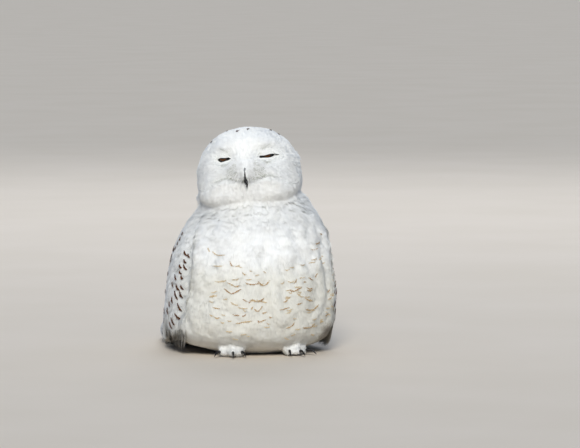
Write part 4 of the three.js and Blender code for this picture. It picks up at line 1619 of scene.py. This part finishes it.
def seen_at(across, down):
    """The point of the body at a place of the main view. A place beside the bird moves in to meet it."""
    towards = towards_view()
    eye = VIEW_AIM + towards * VIEW_DISTANCE
    right = unit(np.cross(-towards, (0, 0, 1)))
    upward = np.cross(right, -towards)
    focal = VIEW_LENS / VIEW_SENSOR * VIEW_WIDE
    for share in VIEW_SHARES:
        x = across + share * (VIEW_MIDDLE[0] - across) - VIEW_WIDE / 2
        y = VIEW_TALL / 2 - down - share * (VIEW_MIDDLE[1] - down)
        ray = -towards + right * x / focal + upward * y / focal
        where = Body.outer.tree.ray_cast(Vector(eye), Vector(ray))[0]
        if where is not None:
            return np.array(where)
    raise RuntimeError("a mark of the view misses the body")


def seen_bars():
    """The clear bars of the belly: both ends as degrees round the body and height in mm, and strength."""
    found = []
    for *ends, share in BELLY_BARS:
        row = []
        for across, down in (ends[:2], ends[2:]):
            at = seen_at(BARS_CORNER[0] + across / BARS_ENLARGED, BARS_CORNER[1] + down / BARS_ENLARGED)
            row += [math.degrees(math.atan2(at[0], BODY_AXIS_Y - at[1])), at[2] / MM]
        found.append((*row, 10 * share))
    return tuple(found)


class OWL_OT_marks(bpy.types.Operator):
    """Lays the brown barbs that bar the belly and spot the wings and crown"""

    bl_idname = "owl.marks"
    bl_label = "Bars and spots"

    def execute(self, context):
        settings = context.scene.owl_plumage
        surface = Body.outer
        bars = Coat(surface, unwrap_body, 61)
        finish = mark_material("barred_barbs", settings.buff, settings.brown)
        for a0, z0, a1, z1, strength in seen_bars() + faint_bars():
            ends = []
            for angle, height in ((a0, z0), (a1, z1)):
                heading = Vector((math.sin(math.radians(angle)), -math.cos(math.radians(angle)), 0))
                start = Vector((0, BODY_AXIS_Y, height * MM)) + heading * 0.3
                ends.append(surface.hit(start, -heading)[0])
            ends = np.array(ends)
            bow = np.array((0, 0, bars.rng.uniform(-1.4, 0.2) * MM))
            path = np.array([ends[0], (ends[0] + ends[1]) / 2 + bow, ends[1]])
            roots, normals, s = bar_roots(surface, path, 0.6 * MM, 0.32 * MM, bars.rng)
            count = len(roots)
            fade = np.minimum(1, 2.4 * np.minimum(s, 1 - s) + 0.3) * bars.rng.uniform(0.5, 1.25, count)
            bars.lay(
                roots, normals, lie_of_body(roots, normals, Body.regions(roots)),
                (1.6 + 0.16 * strength) * fade * MM, 1.6 * MM,
                (0.5 + 0 * s, 1.0 + 0 * s, 1.1 + 0.3 * bars.rng.random(count)), barbs=2, rows=2, cup=0.05,
                mark=np.clip(strength / 10 * (0.5 + 0.8 * bars.rng.random(count)), 0, 1),
            )
        bars.make("bars_belly", finish)

        spots = Coat(surface, unwrap_side, 62)
        finish = mark_material("spotted_barbs", "#7d4c25", settings.spot)
        centres = []
        for across, down, length in WING_SPOTS:
            x, y, z = seen_at(across, down) / MM
            centres += [(x, y, z, length * 1.15), (-x, y, z, length)]
        for x, y, z, length in more_spots():
            centres.append((x, y, z, length))
        for x, y, z, length in centres:
            where, normal = surface.nearest(np.array([(x, y, z)]) * MM)
            lie = lie_of_body(where, normal, Body.regions(where))[0]
            wide = np.cross(lie, normal[0])
            half = wide * length * MM / 2
            path = np.array([where[0] - half, where[0] + lie * 0.8 * MM, where[0] + half])
            roots, normals, s = bar_roots(surface, path, 0.42 * MM, 0.15 * MM, spots.rng)
            count = len(roots)
            fade = np.minimum(1, 2.6 * np.minimum(s, 1 - s) + 0.35)
            spots.lay(
                roots, normals, np.broadcast_to(lie, roots.shape),
                    (3.8 + 1.2 * spots.rng.random(count)) * fade * MM,
                2.2 * MM, (0.6 + 0 * s, 1.1 + 0 * s, 1.2 + 0.3 * spots.rng.random(count)), barbs=2, rows=2,
                    cup=0.05,
                mark=0.35 + 0.65 * spots.rng.random(count),
            )
        spots.make("spots_wings_and_back", finish)

        crown = Coat(surface, unwrap_head, 63)
        crown_places = [tuple(to_head(seen_at(*place))[:2]) for place in CROWN_SPOTS]
        for x, y in crown_places + list(CROWN_SPOTS_BEHIND):
            start = from_head(np.array((x, y, 110.0)))
            where, normal = surface.hit(start, -HEAD_TURN[:, 2])
            at = where[None] + crown.rng.normal(0, 1.0, (9, 3)) * MM
            roots, normals = surface.nearest(at)
            crown.lay(
                roots, normals, lie_of_head(roots, normals), 3.2 * MM, 1.8 * MM,
                (0.4 + np.zeros(9), 1.0 + np.zeros(9), 1.2 + 0.4 * crown.rng.random(9)), barbs=2, rows=2,
                cup=0.05,
                mark=0.6 + 0.4 * crown.rng.random(9),
            )
        crown.make("spots_crown", finish)

        # Olive strokes: the edge of the facial disc under the cheeks, and rays round the bill.
        strokes = Coat(surface, unwrap_head, 66)
        finish = mark_material("olive_barbs", "#d6d7cf", "#86856f")
        places = [(x, smile(x) + 2.0, 0.7) for x in np.arange(-24, 24.1, 0.9) if abs(x) > 4.5]
        places += [
            (x, smile(x) + 0.6, 0.12 + 0.8 * smoothstep(-abs(x), -31, -22)) for x in np.arange(-46, 46.1,
            0.75) if abs(x) > 3.5
        ]
        for n in range(78):
            angle = math.radians(-112 + 4 * n + strokes.rng.uniform(-1.5, 1.5))
            low = 0.5 - 0.5 * math.sin(angle)
            for reach in np.arange(5 + strokes.rng.uniform(0, 6), 18 + 12 * low, 2.2):
                places.append((1.2 * reach * math.cos(angle), 9 + reach * math.sin(angle) * 0.9,
                    0.3 + 0.3 * low))
        # Painted shade: grey strokes along the crease under each eye and under each brow ridge.
        for x in np.concatenate([np.arange(-36, -25, 0.9), np.arange(26, 37, 0.9)]):
            places += [(x, 21.3 + 0.02 * (abs(x) - 34) ** 2, 0.45), (x, 38 + 0.55 * (abs(x) - 24), 0.15)]
        found = []
        for x, z, strength in places:
            if z < smile(x) - 1 or strokes.rng.random() < 0.2:
                continue
            at = from_head((x, -130, z + strokes.rng.normal(0, 0.4)))
            found.append(surface.hit(at, HEAD_TURN[:, 1]) + (strength,))
        roots, normals = (np.array([f[i] for f in found]) for i in range(2))
        strength = np.array([f[2] for f in found])
        strokes.lay(
            roots, normals, lie_of_head(roots, normals), (2.6 + 3.2 * strokes.rng.random(len(roots))) * MM,
                1.0 * MM,
            (0.1 + 0 * strength, 0.6 + 0 * strength, 0.7 + 0.4 * strokes.rng.random(len(roots))), barbs=2,
            rows=2,
            mark=np.clip(strength * strokes.rng.uniform(0.3, 1.1, len(roots)), 0, 1),
        )
        strokes.make("strokes_face", finish)
        return {"FINISHED"}


def faint_bars():
    """Faint short bars scattered between the clear ones, on the lower breast and flanks."""
    rng = np.random.default_rng(65)
    found = []
    for _ in range(110):
        angle, z = rng.uniform(-48, 62), rng.uniform(30, 150)
        if abs(angle - 3) < 5 or rng.random() > math.exp(-(((z - 80) / 55) ** 2)):
            continue
        long = rng.uniform(2.0, 4.5)
        found.append((angle, z, angle + long, z + rng.uniform(-2.5, 2.5), rng.uniform(1, 3.5)))
    return tuple(found)


def more_spots():
    """Sparse spots of the wings' rear, the scapulars and the back, at random places 20 to 30 mm apart."""
    rng = np.random.default_rng(64)
    found = []
    for _ in range(900):
        angle, z = rng.uniform(62, 298), rng.uniform(40, 190)
        heading = Vector((math.sin(math.radians(angle)), -math.cos(math.radians(angle)), 0))
        start = Vector((0, -0.03, z * MM)) + heading * 0.4
        where = Body.outer.tree.ray_cast(start, -heading)[0]
        if where is None:
            continue
        p = np.array(where) / MM
        if p[1] < -70 or any(
            (p[0] - q[0]) ** 2 + (p[1] - q[1]) ** 2 + (p[2] - q[2]) ** 2 < 23**2 for q in found
        ):
            continue
        found.append((p[0], p[1], p[2], rng.uniform(4, 8.5)))
    return found


def bristle_tree(finish):
    """Bristles spread over a patch of the face, each turned along the patch's own lie."""
    tree = bpy.data.node_groups.new("bristles", "GeometryNodeTree")
    face = tree.interface
    face.new_socket("Geometry", in_out="INPUT", socket_type="NodeSocketGeometry")
    for label, kind in (("Bristle", "NodeSocketObject"), ("Density", "NodeSocketFloat"),
        ("Seed", "NodeSocketInt")):
        face.new_socket(label, in_out="INPUT", socket_type=kind)
    face.new_socket("Geometry", in_out="OUTPUT", socket_type="NodeSocketGeometry")
    given = add(tree, "NodeGroupInput").outputs
    lie = add(tree, "GeometryNodeInputNamedAttribute", {"Name": "lie"},
        data_type="FLOAT_VECTOR").outputs["Attribute"]
    size = add(tree, "GeometryNodeInputNamedAttribute", {"Name": "size"},
        data_type="FLOAT").outputs["Attribute"]
    thick = add(tree, "ShaderNodeMath", links={0: given["Density"], 1: size}, operation="MULTIPLY").outputs[0]
    spread = add(
        tree,
        "GeometryNodeDistributePointsOnFaces",
        links={"Mesh": given["Geometry"], "Density": thick, "Seed": given["Seed"]},
    )
    upright = add(tree, "FunctionNodeAlignRotationToVector", links={"Vector": lie},
        axis="Z").outputs["Rotation"]
    turned = add(
        tree,
        "FunctionNodeAlignRotationToVector",
        links={"Rotation": upright, "Vector": spread.outputs["Normal"]},
        axis="X",
        pivot_axis="Z",
    ).outputs["Rotation"]
    sway = add(
        tree,
        "FunctionNodeRandomValue",
        {"Min": (-0.16, -0.14, -0.4), "Max": (0.16, 0.2, 0.4)},
        {"Seed": given["Seed"]},
        data_type="FLOAT_VECTOR",
    )
    swayed = add(tree, "FunctionNodeRotateRotation", {}, {"Rotation": turned}, rotation_space="LOCAL")
    tree.links.new(in_use(sway.outputs, "Value"), swayed.inputs["Rotate By"])
    scale = add(
        tree, "FunctionNodeRandomValue", {"Min": 0.65, "Max": 1.2}, {"Seed": given["Seed"]}, data_type="FLOAT"
    )
    grown = add(
        tree, "ShaderNodeMath", links={0: in_use(scale.outputs, "Value"), 1: size}, operation="MULTIPLY"
    ).outputs[0]
    shape = add(tree, "GeometryNodeObjectInfo", {"As Instance": True},
        {"Object": given["Bristle"]}).outputs["Geometry"]
    placed = add(
        tree,
        "GeometryNodeInstanceOnPoints",
        links={
            "Points": spread.outputs["Points"],
            "Instance": shape,
            "Rotation": swayed.outputs["Rotation"],
            "Scale": grown,
        },
    ).outputs["Instances"]
    real = add(tree, "GeometryNodeRealizeInstances", links={"Geometry": placed}).outputs["Geometry"]
    done = add(tree, "GeometryNodeSetMaterial", {"Material": finish}, {"Geometry": real}).outputs["Geometry"]
    add(tree, "NodeGroupOutput", links={"Geometry": done})
    return tree


class OWL_OT_bristles(bpy.types.Operator):
    """Grows the white bristles that ray out round the bill"""

    bl_idname = "owl.bristles"
    bl_label = "Bristles round the bill"

    def execute(self, context):
        settings = context.scene.owl_bristles
        surface = Body.outer

        def build(tree):
            place = add(tree, "ShaderNodeTexCoord").outputs["Object"]
            noise = add(tree, "ShaderNodeTexNoise", {"Scale": 260.0}, {"Vector": place}).outputs["Fac"]
            colour = ramp_colours(tree, noise, (0.35, "#dcdcd6"), (0.6, "#fbfbf9"))
            return add(tree, "ShaderNodeBsdfPrincipled", {"Roughness": 0.7}, {"Base Color": colour})

        finish = material("bristle_keratin", build)
        # One bristle: a tapered, slightly bowed quill of three sides along +Z, bowed away from +X.
        points, faces = [], []
        for ring in range(4):
            t = ring / 4
            radius = settings.thickness * (1 - 0.75 * t)
            for corner in range(3):
                angle = corner * 2 * math.pi / 3
                bow = settings.length * 0.16 * math.sin(math.pi * t * 0.9)
                points.append((bow + radius * math.cos(angle), radius * math.sin(angle), settings.length * t))
        points.append((settings.length * 0.02, 0, settings.length))
        for ring in range(3):
            for corner in range(3):
                a, b = ring * 3 + corner, ring * 3 + (corner + 1) % 3
                faces.append((a, b, b + 3, a + 3))
        faces += [(9 + c, 9 + (c + 1) % 3, 12) for c in range(3)]
        faces.append((2, 1, 0))
        quill = object_from("quill", points, faces)

        local = to_head(surface.points)
        middle = local[surface.triangles].mean(1)
        facing = surface.normals[surface.triangles[:, 0]] @ HEAD_TURN
        near = ((middle[:, 0] / 34) ** 2 + ((middle[:, 2] - 12) / 24) ** 2 < 1) & (middle[:,
            1] < -60) & (facing[:, 1] < 0.2)
        near &= ~((np.abs(middle[:, 0]) < 1.8) & (middle[:,
            2] < 16)) & ~((np.abs(middle[:, 0]) < 6) & (middle[:, 2] < -2))
        used, index = np.unique(surface.triangles[near], return_inverse=True)
        patch = object_from("bristles", surface.points[used] - surface.normals[used] * 1.2 * MM,
            index.reshape(-1, 3))
        at = local[used]
        reach = np.hypot(at[:, 0] / 30, (at[:, 2] - 10) / 22)
        root = at - np.array((0, -80, 24))
        ray = np.stack([root[:, 0] * 1.6, np.full(len(at), -9.0), root[:, 2] * 0.9 - 7], 1)
        lie = across(unit(ray) @ HEAD_TURN.T, surface.normals[used]) + 0.24 * surface.normals[used]
        layer = patch.data.attributes.new("lie", "FLOAT_VECTOR", "POINT")
        layer.data.foreach_set("vector", unit(lie).astype(np.float32).ravel())
        put_attribute(patch.data, "size", np.clip(1.15 - 0.75 * reach, 0.25, 1))
        modifier = patch.modifiers.new("Bristles", "NODES")
        modifier.node_group = bristle_tree(finish)
        sockets = {
            s.name: s.identifier for s in modifier.node_group.interface.items_tree if s.in_out == "INPUT"
        }
        modifier[sockets["Bristle"]] = quill
        modifier[sockets["Density"]] = settings.density
        modifier[sockets["Seed"]] = 5
        depsgraph = context.evaluated_depsgraph_get()
        grown = bpy.data.meshes.new_from_object(patch.evaluated_get(depsgraph))
        patch.modifiers.clear()
        patch.data = grown
        bpy.data.objects.remove(quill)
        if len(grown.polygons) < 100:
            raise RuntimeError("the bristles did not grow")
        grown.polygons.foreach_set("use_smooth", [True] * len(grown.polygons))
        grown.normals_split_custom_set_from_vertices(surface.nearest(points_of(grown))[1].tolist())
        finish_piece(patch, finish)
        return {"FINISHED"}


class OWL_OT_stage(bpy.types.Operator):
    """Sets a pale floor, soft studio light and the camera"""

    bl_idname = "owl.stage"
    bl_label = "Floor, light and camera"

    def execute(self, context):
        scene = context.scene
        floor = object_from("floor", [(-400, -400, 0), (400, -400, 0), (400, 400, 0), (-400, 400, 0)],
            [(0, 1, 2, 3)])

        def build(tree):
            place = add(tree, "ShaderNodeTexCoord").outputs["Object"]
            noise = add(tree, "ShaderNodeTexNoise", {"Scale": 3.0, "Detail": 3.0},
                {"Vector": place}).outputs["Fac"]
            colour = ramp_colours(tree, noise, (0.3, "#d6cab8"), (0.7, "#dacebd"))
            return add(tree, "ShaderNodeBsdfPrincipled", {"Roughness": 0.95}, {"Base Color": colour})

        floor.data.materials.append(material("studio_floor", build))
        world = bpy.data.worlds.new("studio")
        scene.world = world
        world.use_nodes = True
        world.node_tree.nodes["Background"].inputs["Color"].default_value = linear("#b6cbea")
        world.node_tree.nodes["Background"].inputs["Strength"].default_value = 0.485
        aim = Vector((0, -0.08, 0.17))
        lights = (
            ("key", "SUN", (-1.15, -4.0, 2.5), 2.95, "#fffefc"),
            ("fill", "AREA", (-3.4, -2.6, 1.6), 2, "#d3e2ff"),
            ("rim", "AREA", (1.2, 3.4, 3.2), 60, "#eef3ff"),
        )
        for name, kind, place, power, colour in lights:
            lamp = bpy.data.lights.new(name, kind)
            lamp.energy, lamp.color = power, linear(colour)[:3]
            if kind == "SUN":
                lamp.angle = math.radians(16)
            else:
                lamp.size = 2.6
            made = bpy.data.objects.new(name, lamp)
            made.location = place
            made.rotation_euler = (aim - Vector(place)).to_track_quat("-Z", "Y").to_euler()
            scene.collection.objects.link(made)
        camera = bpy.data.cameras.new("camera")
        camera.lens, camera.sensor_width, camera.clip_end = VIEW_LENS, VIEW_SENSOR, 100
        eye = bpy.data.objects.new("camera", camera)
        towards = Vector(towards_view())
        eye.location = Vector(VIEW_AIM) + towards * VIEW_DISTANCE
        eye.rotation_euler = (-towards).to_track_quat("-Z", "Y").to_euler()
        scene.collection.objects.link(eye)
        scene.camera = eye
        scene.view_settings.view_transform = "Standard"
        return {"FINISHED"}


OPERATORS = (
    OWL_OT_skin,
    OWL_OT_eyes,
    OWL_OT_lids,
    OWL_OT_horn,
    OWL_OT_coat_head,
    OWL_OT_coat_body,
    OWL_OT_coat_wings,
    OWL_OT_flight_feathers,
    OWL_OT_marks,
    OWL_OT_bristles,
    OWL_OT_stage,
)


class OWL_PT_panel(bpy.types.Panel):
    """Lists the owl's sizes, colours and pieces"""

    bl_idname = "OWL_PT_panel"
    bl_label = "Snowy Owl"
    bl_space_type = "VIEW_3D"
    bl_region_type = "UI"
    bl_category = "Owl"

    def draw(self, context):
        for group in (context.scene.owl_plumage, context.scene.owl_eyes, context.scene.owl_bristles):
            box = self.layout.box()
            for key in group.bl_rna.properties.keys():
                if key not in ("rna_type", "name"):
                    box.prop(group, key)
        for operator in OPERATORS:
            self.layout.operator(operator.bl_idname)


GROUPS = (("owl_plumage", OwlPlumage), ("owl_eyes", OwlEyes), ("owl_bristles", OwlBristles))


def register():
    for key, group in GROUPS:
        bpy.utils.register_class(group)
        setattr(bpy.types.Scene, key, bpy.props.PointerProperty(type=group))
    for each in OPERATORS + (OWL_PT_panel,):
        bpy.utils.register_class(each)


def unregister():
    for each in reversed(OPERATORS + (OWL_PT_panel,)):
        bpy.utils.unregister_class(each)
    for key, group in reversed(GROUPS):
        delattr(bpy.types.Scene, key)
        bpy.utils.unregister_class(group)


def main():
    register()
    for operator in OPERATORS:
        family, action = operator.bl_idname.split(".")
        getattr(getattr(bpy.ops, family), action)()


if __name__ == "__main__":
    main()
